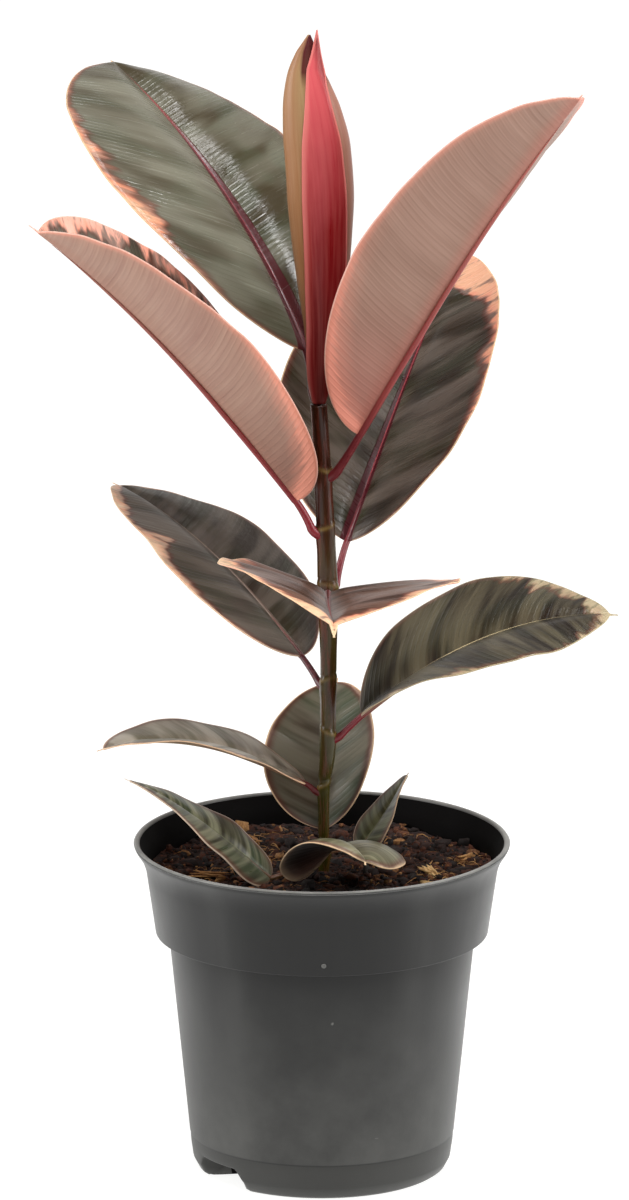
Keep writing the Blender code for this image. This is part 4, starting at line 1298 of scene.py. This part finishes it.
# ---- pot
@dataclass(frozen=True)
class Pot:
    """The grower's pot: foot with three drain notches, tapered body, collar and rolled lip."""

    lip: float = 0.0850
    height: float = 0.1525
    wall: float = 0.0016
    collar_top: tuple[float, float] = (0.0795, 0.1395)       # radius, height
    collar_foot: tuple[float, float] = (0.0754, 0.1105)
    body_top: float = 0.0693
    body_foot: tuple[float, float] = (0.0593, 0.0125)
    groove: float = 0.0165            # height of the line above the foot band
    foot: float = 0.0540
    foot_wall: float = 0.0020
    floor_under: float = 0.0100
    floor_top: float = 0.0120
    floor_hub: float = 0.020
    notches: tuple[float, ...] = (-54.0, 100.0, -160.0)
    notch_half: float = 17.0
    notch_slope: float = 6.0
    notch_inner: float = 0.0385
    notch_shade: tuple[float, float] = (0.0450, 0.0104)      # its back and roof lie inside this, and take the near-black finish of painted shade
    drain: tuple[float, float] = (0.0430, 0.0530)            # radii
    drain_half: float = 7.5
    wear_and_highlight: Rows = (                    # height, spread, least radius and strength of scuffed edges; the row at the lip's top paints a highlight
        (0.1525, 0.0008, 0.0820, 1.6), (0.0175, 0.0007, 0.0585, 0.35), (0.0, 0.0020, 0.0, 0.2))
    fronts: int = 5                   # lines where the plastic's flow fronts met
    front_at: float = 36.0            # azimuth of one
    gate: tuple[float, float, float] = (0.0011, 0.0005, 0.1157)   # the mark's radius, rise, height
    columns: int = 288
    corner_points: int = 7

    def profile(self) -> list[tuple[tuple[float, float], tuple[float, float], float]]:
        """List the profile's corners from the underside, round the outside, to the floor's top.

        Returns:
            For each, its place on a lobe, its place in a notch, and its radius.
        """
        (collar, collar_top), (neck, collar_foot) = self.collar_top, self.collar_foot
        (body, body_foot), (inner, outer) = self.body_foot, self.drain
        slope = (self.body_top - body) / (collar_foot - body_foot)
        at_groove = body + slope * (self.groove - body_foot)
        wall, foot, thin, lip, top = self.wall, self.foot, self.foot_wall, self.lip, self.height
        under, floor, hub, notch = self.floor_under, self.floor_top, self.floor_hub, self.notch_inner
        shaped = [
            ((hub, under), (hub, under), 0.0),
            ((foot - thin, under), (notch - wall, under), 0.0004),
            ((foot - thin, 0.0), (notch - wall, 0.0), 0.0003),
            ((foot - 0.4 * thin, 0.0), (notch, 0.0), 0.0),
            ((foot, 0.0), (notch + 0.0014, 0.0096), 0.0),
            ((foot + 0.0006, 0.0003), (inner, 0.0102), 0.0),
            ((foot + 0.0022, 0.0014), (outer, 0.0102), 0.0),
            ((body - 0.0009, 0.0055), (body - 0.0004, 0.0106), 0.0006),
        ]
        turned = [
            (body + 0.0001, body_foot, 0.0010),
            (at_groove - 0.0001, self.groove, 0.0003),
            (at_groove + 0.0002, self.groove + 0.0007, 0.0003),
            (self.body_top, collar_foot - 0.0006, 0.0004),
            (self.body_top + 0.0006, collar_foot, 0.0002),
            (neck - 0.0002, collar_foot, 0.0004),
            (collar + 0.0006, collar_top + 0.0045, 0.0058),
            (lip - 0.0003, top - 0.0022, 0.0014),
            (lip, top - 0.0010, 0.0004),
            (lip - 0.0004, top, 0.0006),
            (lip - 0.0022, top, 0.0009),
            (lip - 0.0030, top - 0.0022, 0.0012),
            (collar + 0.0013 - wall, collar_top + 0.0050, 0.0020),
            (collar - wall, collar_top, 0.0030),
            (neck - wall, collar_foot + wall, 0.0004),
            (self.body_top - wall, collar_foot + wall, 0.0004),
            (body - wall, floor, 0.0006),
            (outer, floor, 0.0),
            (inner, floor, 0.0),
            (hub, floor, 0.0),
        ]
        return shaped + [((r, z), (r, z), bend) for r, z, bend in turned]

    def round_off(self, corners: Array, bends: Array) -> Array:
        """Replace each corner by points of a parabola between its two sides.

        With a and b the points at the bend's distance from the corner c along both sides, the
        points are (1-t)^2 a + 2t(1-t) c + t^2 b. A bend of 0 keeps the corner as one point.

        Args:
            corners: (n, 2) radii and heights.
            bends: distance of each.

        Returns:
            All points in order, (m, 2).
        """
        start, end = (corners + bends[:, None] * unit(np.roll(corners, way, axis=0) - corners)
                      for way in (1, -1))
        share = np.linspace(0, 1, self.corner_points)[:, None]
        return np.vstack([corner[None] if bend == 0 else
                          (1 - share) ** 2 * a + 2 * share * (1 - share) * corner + share ** 2 * b
                          for corner, bend, a, b in zip(corners, bends, start, end)])

    def build(self, plastic: PotPlastic, inside: PotPlastic) -> Piece:
        """Build the pot by turning its profile, which morphs into a notch at three azimuths.

        At an azimuth the profile is the lobe's plus the notch's share of the difference. The
        drain holes leave out the quads of roof and floor there, and walls join their edges.

        Args:
            plastic: its finish.
            inside: the finish of the inner wall and of the notches' backs and roofs, near black as
                painted shade.

        Returns:
            The piece.
        """
        lobes, hollows, bends = (np.array(part) for part in zip(*self.profile()))
        lobe, notch = self.round_off(lobes, bends), self.round_off(hollows, bends)
        sizes = np.where(bends == 0, 1, self.corner_points)
        first = np.cumsum(sizes) - sizes
        roof, floor, lining = first[5], first[-3], first[-9]
        step = 360.0 / self.columns
        azimuth = np.arange(self.columns) * step
        apart = np.abs((azimuth[:, None] - np.array(self.notches) + 180) % 360 - 180).min(axis=1)
        share = soft_step(self.notch_half - apart, 0, self.notch_slope)[:, None]
        flat = lobe[:, None] + (notch - lobe)[:, None] * share
        radius, level = flat[..., 0], flat[..., 1]
        rings = heading(azimuth) * radius[..., None] + UP * level[..., None]
        count, columns = radius.shape
        number = np.arange(radius.size).reshape(radius.shape)
        keep = np.ones((count - 1, columns), bool)
        walls = []
        for middle in self.notches:
            start, stop = (round((middle + s * self.drain_half) / step) for s in (-1, 1))
            a, b = (np.arange(start, stop) + shift for shift in (0, 1))
            a, b, ends = a % columns, b % columns, np.array((start, stop)) % columns
            keep[roof, a] = keep[floor, a] = False
            for corners in (((roof, a), (roof, b), (floor + 1, b), (floor + 1, a)),
                            ((roof + 1, b), (roof + 1, a), (floor, a), (floor, b)),
                            ((roof, ends), (floor + 1, ends), (floor, ends), (roof + 1, ends))):
                walls.append(np.stack([number[corner] for corner in corners], -1))
            walls[-1][1] = walls[-1][1, ::-1]
        # the lip's row paints a highlight along the top edge; the others mark scuffed edges
        wear_and_highlight = sum(strength * bell(level - height, spread) * (radius > least)
                   for height, spread, least, strength in self.wear_and_highlight)
        fronts = (0.5 + 0.5 * np.cos(np.radians(self.fronts * (azimuth - self.front_at)))) ** 14
        fronts = fronts * soft_step(level, 0.02, 0.12)
        # painted light: the band below the groove takes the lighter foot colour
        low = 1 - soft_step(level, self.groove - 0.0005, self.groove + 0.0003)
        shell = loft(rings, {"pot_state": np.stack((wear_and_highlight, fronts, low), -1)})
        # the outward test may have turned the quads over, so the walls are turned with them
        quads = ring_faces(count, columns)
        turned = bool((shell.patches[0][0][0] != quads[0, 0]).any())
        # the inner wall and the notches' backs and roofs take the near-black second finish: painted
        # shade
        back, ceiling = self.notch_shade
        painted_shade = (radius[:-1] < back) & (level[:-1] < ceiling)
        painted_shade[lining:] = True
        sides = [np.vstack((quads[keep & ~painted_shade], *walls)), quads[keep & painted_shade]]
        shell.patches[:1] = [(faces[:, ::-1] if turned else faces, finish)
                             for finish, faces in enumerate(sides)]
        return make_piece("pot_moulded", [shell, self.gate_mark()],
                          [plastic.material(), inside.material()], "pot")

    def gate_mark(self) -> Shell:
        """Build the dome that the mould's gate left: height h cos(a) over radius r sin(a).

        Returns:
            The closed dome, its back inside the collar.
        """
        radius, rise, level = self.gate
        angle = np.linspace(0.15, np.pi / 2, 6)[:, None]
        turn = np.arange(16) * 2 * np.pi / 16
        (high, top), (low, foot) = self.collar_top, self.collar_foot
        face = low + (high - low) * (level - foot) / (top - foot)
        rings = np.stack((radius * np.sin(angle) * np.cos(turn) + 0.0008,
                          -face - rise * np.cos(angle) + 0 * turn + 0.0001,
                          level + radius * np.sin(angle) * np.sin(turn)), -1)
        rings = np.concatenate((rings, rings[-1:] + np.array((0.0, 0.0008, 0.0))))
        return loft(rings, {"pot_state": np.array((0.6, 0.0, 0.0))})


# ---- soil
class Litter(Enum):
    """What lies loose on the soil: its count, and its smallest and largest size in metres."""

    CRUMB = (3200, 0.0005, 0.0030)
    FIBRE = (520, 0.0040, 0.0140)


@dataclass(frozen=True)
class Soil:
    """Peat mix in the pot: a lumpy top with loose crumbs and fibres, and splinters of wood."""

    level: float = 0.1385
    rim: float = 0.0774
    hub: float = 0.0015               # radius of the innermost ring
    middle: float = 0.0010            # how far the rings' middle lies to the right of the pot's
    buried: Rows = (                  # radius, height of the corners down the buried side
        (0.0776, 0.1355), (0.0733, 0.1127), (0.0675, 0.1126), (0.0575, 0.0123))
    columns: int = 220
    rows: int = 100

    def top(self, x: Array, y: Array) -> Array:
        """Give the top's height: long waves, plus lattice noise at 11, 4.5 and 1.8 mm.

        Args:
            x: places along X.
            y: places along Y.

        Returns:
            Heights in metres.
        """
        waves = (0.5 * np.sin(95 * x + 60 * y + 1.0) + 0.3 * np.sin(150 * y - 70 * x)
                 + 0.2 * np.cos(210 * x - 40 * y + 2.0))
        lumps = zip((0.0010, 0.0008, 0.0004), (0.011, 0.0045, 0.0018), (3, 4, 5))
        return self.level + 0.0011 * waves + sum(size * lattice_noise(x, y, pitch, seed)
                                                 for size, pitch, seed in lumps)

    def bed(self) -> Shell:
        """Build the bed: the lumpy top from the middle out, then the buried side and bottom.

        Returns:
            The closed shell.
        """
        azimuth = np.arange(self.columns) * 360.0 / self.columns
        side, depth = np.array(self.buried).T[..., None]
        radius = np.concatenate((np.linspace(self.hub, self.rim, self.rows)[:, None], side))
        flat = heading(azimuth) * radius[..., None]
        flat[:self.rows, :, 0] += self.middle * (1 - radius[:self.rows] / self.rim)
        x, y = flat[..., 0], flat[..., 1]
        flat[..., 2] = self.top(x, y)
        flat[self.rows:, :, 2] = depth
        tone = 0.34 + 0.26 * lattice_noise(x, y, 0.0045, 4) + 0.12 * lattice_noise(x, y, 0.0018, 5)
        return loft(flat, {"tone": tone[..., None]})

    def crumbs(self) -> Shell:
        """Scatter crumbs: twelve-cornered lumps, stretched, turned and shaken at random.

        Returns:
            One shell of them all.
        """
        count, small, large = Litter.CRUMB.value
        chance = np.random.default_rng(11)
        g = (1 + 5 ** 0.5) / 2
        corners = unit(np.array([(-1, g, 0), (1, g, 0), (-1, -g, 0), (1, -g, 0),
                                 (0, -1, g), (0, 1, g), (0, -1, -g), (0, 1, -g),
                                 (g, 0, -1), (g, 0, 1), (-g, 0, -1), (-g, 0, 1)]))
        faces = np.array([(0, 11, 5), (0, 5, 1), (0, 1, 7), (0, 7, 10), (0, 10, 11),
                          (1, 5, 9), (5, 11, 4), (11, 10, 2), (10, 7, 6), (7, 1, 8),
                          (3, 9, 4), (3, 4, 2), (3, 2, 6), (3, 6, 8), (3, 8, 9),
                          (4, 9, 5), (2, 4, 11), (6, 2, 10), (8, 6, 7), (9, 8, 1)])
        size = small + (large - small) * chance.random(count) ** 3.5
        spread = self.rim * 0.985 * np.sqrt(chance.uniform(0.004, 1, count))
        centre = heading(chance.uniform(0, 360, count)) * spread[:, None]
        centre[:, 2] = self.top(centre[:, 0], centre[:, 1]) + 0.25 * size
        stretch = chance.uniform(0.35, 1.7, (count, 1, 3)) * np.array((1.0, 1.0, 0.7))
        shaken = corners * chance.uniform(0.55, 1.40, (count, 12, 1)) * stretch
        turn = chance.uniform(0, 2 * np.pi, count)[:, None]
        x, y, z = np.moveaxis(shaken, -1, 0)
        turned = np.stack((x * np.cos(turn) - y * np.sin(turn),
                           x * np.sin(turn) + y * np.cos(turn), z), -1)
        points = turned * size[:, None, None] + centre[:, None]
        numbers = faces + 12 * np.arange(count)[:, None, None]
        tone = np.repeat(chance.beta(1.6, 2.6, count), 12)[:, None]
        return Shell(points.reshape(-1, 3), [(numbers.reshape(-1, 3), 0)], {"tone": tone}).outward()

    def fibres(self) -> Shell:
        """Scatter fibres, a third of them in tufts round the chips of wood.

        Each is a bent three-sided thread of five rings that tapers to both ends.

        Returns:
            One shell of them all.
        """
        count, short, long = Litter.FIBRE.value
        chance = np.random.default_rng(23)
        length = chance.uniform(short, long, count)
        spread = self.rim * 0.93 * np.sqrt(chance.uniform(0.01, 1, count))
        centre = heading(chance.uniform(0, 360, count)) * spread[:, None]
        boxes = np.array([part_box(chip.node) for chip in CHIPS]).mean(axis=1)
        tufts = count // 3
        centre[:tufts] = boxes[chance.integers(0, len(boxes), tufts)]
        centre[:tufts, :2] += chance.normal(0, 0.0055, (tufts, 2))
        turn = chance.uniform(0, 2 * np.pi, count)[:, None]
        bend = chance.uniform(-2.2, 2.2, count)[:, None]
        share = np.linspace(-0.5, 0.5, 5)
        angle = turn + bend * share
        step = length[:, None] / 5
        x, y = (centre[:, axis, None] + np.cumsum(wave(angle) * step, axis=1) - 2 * step * wave(turn)
                for axis, wave in enumerate((np.cos, np.sin)))
        pull = np.minimum(1, self.rim * 0.975 / np.hypot(x, y))
        x, y = x * pull, y * pull
        z = self.top(x, y) + 0.0004 + chance.uniform(0.0, 0.0022, count)[:, None] * (1 - 4 * share ** 2)
        radius = chance.uniform(0.00012, 0.00034, count)[:, None] * (1.15 - 1.8 * np.abs(share))
        corner = (np.arange(3) * 2 * np.pi / 3)[:, None]
        flat = np.stack((-np.sin(angle), np.cos(angle), 0 * angle), -1)[:, :, None]
        rings = (np.stack((x, y, z), -1)[:, :, None]
                 + radius[..., None, None] * (np.cos(corner) * flat + np.sin(corner) * UP))
        offsets = 15 * np.arange(count)[:, None, None]
        quads = (ring_faces(5, 3).reshape(-1, 4) + offsets).reshape(-1, 4)
        ends = (np.array(((2, 1, 0), (12, 13, 14))) + offsets).reshape(-1, 3)
        pale = chance.uniform(0.35, 0.95, count)
        pale[:tufts] += 0.25
        tone = np.repeat(pale, 15)[:, None]
        return Shell(rings.reshape(-1, 3), [(quads, 0), (ends, 0)], {"tone": tone}).outward()

    def build(self, earth: EarthTone) -> list[Piece]:
        """Build the bed, and the loose litter as one more piece on it.

        Args:
            earth: the finish of both.

        Returns:
            Both pieces.
        """
        finish = [earth.material()]
        return [make_piece("peat_bed", [self.bed()], finish, "potting_soil"),
                make_piece("peat_litter", [self.crumbs(), self.fibres()], finish)]


@dataclass(frozen=True)
class Splinters:
    """A frayed chip of wood or root on the soil: a bundle of thin, tapering, bent splinters."""

    node: str
    heading: float                    # of the bundle, in degrees
    tone: float
    seed: int
    count: int = 7

    WIDTH = 0.0042                    # of the bundle
    ROWS = 9
    COLUMNS = 6                       # points round a splinter

    def build(self, wood: EarthTone) -> Piece:
        """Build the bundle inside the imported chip's box, and a little beyond its ends.

        Each splinter is a tube whose middle line bends as a parabola, and whose radius is
        (1 - s^4) of its own, with s from -1 to 1 along it.

        Args:
            wood: its finish.

        Returns:
            The piece.
        """
        low, high = np.array(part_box(self.node))
        middle, size = (low + high) / 2, high - low
        chance = np.random.default_rng(100 + self.seed)
        along = heading(self.heading)
        sideways = np.cross(UP, along)
        reach = abs(size[:2] @ np.abs(along[:2]))
        share = np.linspace(-1, 1, self.ROWS)
        shells = []
        for number in range(self.count):
            half = reach * chance.uniform(0.25, 0.50)
            offset = (sideways * chance.uniform(-0.5, 0.5) * self.WIDTH
                      + along * chance.uniform(-0.2, 0.2) * reach)
            bend = chance.uniform(-0.15, 0.15) * half
            slant = chance.uniform(-0.35, 0.35)
            path = (middle + offset + along * half * share[:, None]
                    + sideways * (bend * share ** 2 + slant * half * share)[:, None])
            path[:, 2] = (low[2] + 0.0006 + size[2] * (number + 1) / (self.count + 1)
                          + chance.uniform(-0.0003, 0.0010) * share ** 2)
            radius = chance.uniform(0.0004, 0.0010) * (1.02 - share ** 4)
            radius *= chance.uniform(0.8, 1.15, len(share))
            tone = np.array([self.tone + chance.uniform(-0.2, 0.2)])
            shells.append(loft(tube(path, radius, UP, self.COLUMNS, 0.6), {"tone": tone}))
        return make_piece(f"{self.node}_frayed", shells, [wood.material()], self.node)


CHIPS: tuple[Splinters, ...] = (
    Splinters("wood_chip_right", 20, 0.98, 1, 19),
    Splinters("wood_chip_right_front", 75, 1.02, 2, 19),
    Splinters("wood_chip_far_right", 130, 0.60, 3),
    Splinters("wood_chip_back_left", 80, 0.50, 4),
    Splinters("wood_chip_back", 15, 0.55, 5),
    Splinters("root_twig_left", 70, 0.60, 6, 5),
)


# ---- stage
@dataclass(frozen=True)
class SoftLight:
    """A rectangular studio light panel that faces the middle of the plant."""

    name: str
    place: tuple[float, float, float]
    width: float
    height: float
    power: float

    TARGET = Vector((0.0, 0.0, 0.25))

    def build(self) -> None:
        """Add the panel, turned so that its -Z axis points at the target."""
        lamp = bpy.data.lights.new(self.name, "AREA")
        lamp.shape = "RECTANGLE"
        lamp.size, lamp.size_y, lamp.energy = self.width, self.height, self.power
        panel = add_object(self.name, lamp)
        panel.location = self.place
        panel.rotation_euler = (panel.location - self.TARGET).to_track_quat("Z", "Y").to_euler()


LIGHTS: tuple[SoftLight, ...] = (
    SoftLight("left_panel", (-1.8, -0.4, 0.9), 0.7, 1.6, 27.0),
    SoftLight("right_panel", (1.8, -0.5, 0.8), 0.7, 1.6, 24.0),
    SoftLight("front_top_panel", (0.2, -1.6, 2.0), 1.0, 1.0, 28.0),
    SoftLight("high_right_panel", (0.75, 0.05, 2.20), 0.5, 0.5, 18.0),
    SoftLight("high_back_panel", (0.30, 0.85, 2.25), 0.35, 0.35, 5.0),
)


@dataclass(frozen=True)
class Studio:
    """Pale floor, soft even light and a long lens from the front, a little above."""

    camera_place: tuple[float, float, float] = (-0.0033433, -7.0, 2.15425)
    camera_pitch: float = 0.2636      # radians below level
    lens: float = 483.1
    floor_size: float = 24.0
    wall_light: float = 0.45          # the room's brightness at eye level
    ceiling_light: float = 0.12       # and overhead
    backdrop: float = 1.9             # how much brighter it is behind the plant

    def floor_finish(self) -> Material:
        """Build a sheet of opal acrylic lit from below: near white, its tone varies by a hair.

        Returns:
            The material.
        """
        material, add, shader = start_material("lit_opal_acrylic")
        spot = add("TexCoord").outputs["Object"]
        cloud = add("TexNoise", {"Vector": spot, "Scale": 2.0, "Detail": 2.0})
        tone, glow = (add("Mix", {0: cloud, 6: one, 7: other}, **RGBA)
                      for one, other in (("#8e8e8c", "#8a8a88"), ("#fbfbfa", "#f6f6f5")))
        away = add("VectorMath", [spot], operation="LENGTH")
        lit = add("MapRange", [away, 0.3, 2.3, 0.94, 1.0], **SMOOTH)
        fill(shader, {"Base Color": tone, "Roughness": 0.9, "Specular IOR Level": 0.1,
                      "Emission Color": glow, "Emission Strength": lit})
        return material

    def build(self) -> None:
        """Add floor, world light, light panels and camera."""
        half = self.floor_size / 2
        mesh = bpy.data.meshes.new("studio_floor")
        mesh.from_pydata([(-half, -half, 0), (half, -half, 0), (half, half, 0), (-half, half, 0)],
                         [], [(0, 1, 2, 3)])
        mesh.materials.append(self.floor_finish())
        add_object("studio_floor", mesh)

        world = bpy.data.worlds.new("soft_room")
        bpy.context.scene.world = world
        world.use_nodes = True
        add = partial(add_node, world.node_tree)
        view = add("TexCoord").outputs["Generated"]
        _, depth, climb = add("SeparateXYZ", [view]).outputs
        fall = add("MapRange", [climb, 0.0, 0.75, self.wall_light, self.ceiling_light], **SMOOTH)
        behind = add("MapRange", [depth, -0.2, 0.5, 0.85, self.backdrop], **SMOOTH)
        strength = add("Math", [fall, behind], operation="MULTIPLY")
        fill(world.node_tree.nodes["Background"], {"Color": "#faf8f4", "Strength": strength})
        for light in LIGHTS:
            light.build()

        lens = bpy.data.cameras.new("long_lens")
        lens.lens, lens.sensor_width, lens.clip_end = self.lens, 36.0, 60.0
        camera = add_object("long_lens", lens)
        camera.location = self.camera_place
        camera.rotation_euler = (np.pi / 2 - self.camera_pitch, 0.0, 0.0)
        bpy.context.scene.camera = camera
        bpy.context.scene.view_settings.view_transform = "Standard"


def corners(box: tuple) -> list[list[float]]:
    """Turn a box's two corners into plain lists of numbers."""
    return [[float(number) for number in corner] for corner in box]


def main() -> None:
    """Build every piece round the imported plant."""
    logging.basicConfig(level=logging.INFO, format="%(message)s")
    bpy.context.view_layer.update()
    Studio().build()
    stem = Stem()
    stem.build(LEAVES, StemSkin())
    for leaf in LEAVES:
        leaf.build(stem)
    bud = Bud()
    bud.young_leaf(BudSkin("rolled_young_leaf_skin", low="#5a2a14", middle="#7e5a30",
                           high="#9c8058", left="#9a6a48", right="#986458", edge="#c4a482",
                           fold=0.92))
    # the sheath's left and right colours are a darker red: painted shade on its sides
    bud.sheath(BudSkin("red_bud_sheath_skin", low="#560808", middle="#8a1016", high="#cc5258",
                       left="#8a141a", right="#780a0e", edge="#dc7c74"))
    # the second finish, near black and almost without gloss, is painted shade for the inner wall and
    # the notches
    Pot().build(PotPlastic("moulded_grey_polypropylene"),
                PotPlastic("painted_shade_polypropylene", body="#060505", bloom="#0c0a09",
                           front="#0c0a09", foot="#0c0a09", scuff_and_highlight="#1c1a18", gloss=0.6,
                           shine=0.06, haze=0.0))
    Soil().build(EarthTone("raw_peat_and_coir"))
    wood = EarthTone("raw_splintered_wood", ("#3a2012", "#6e4424", "#a87844", "#d8b47a"))
    for chip in CHIPS:
        chip.build(wood)


if __name__ == "__main__":
    main()
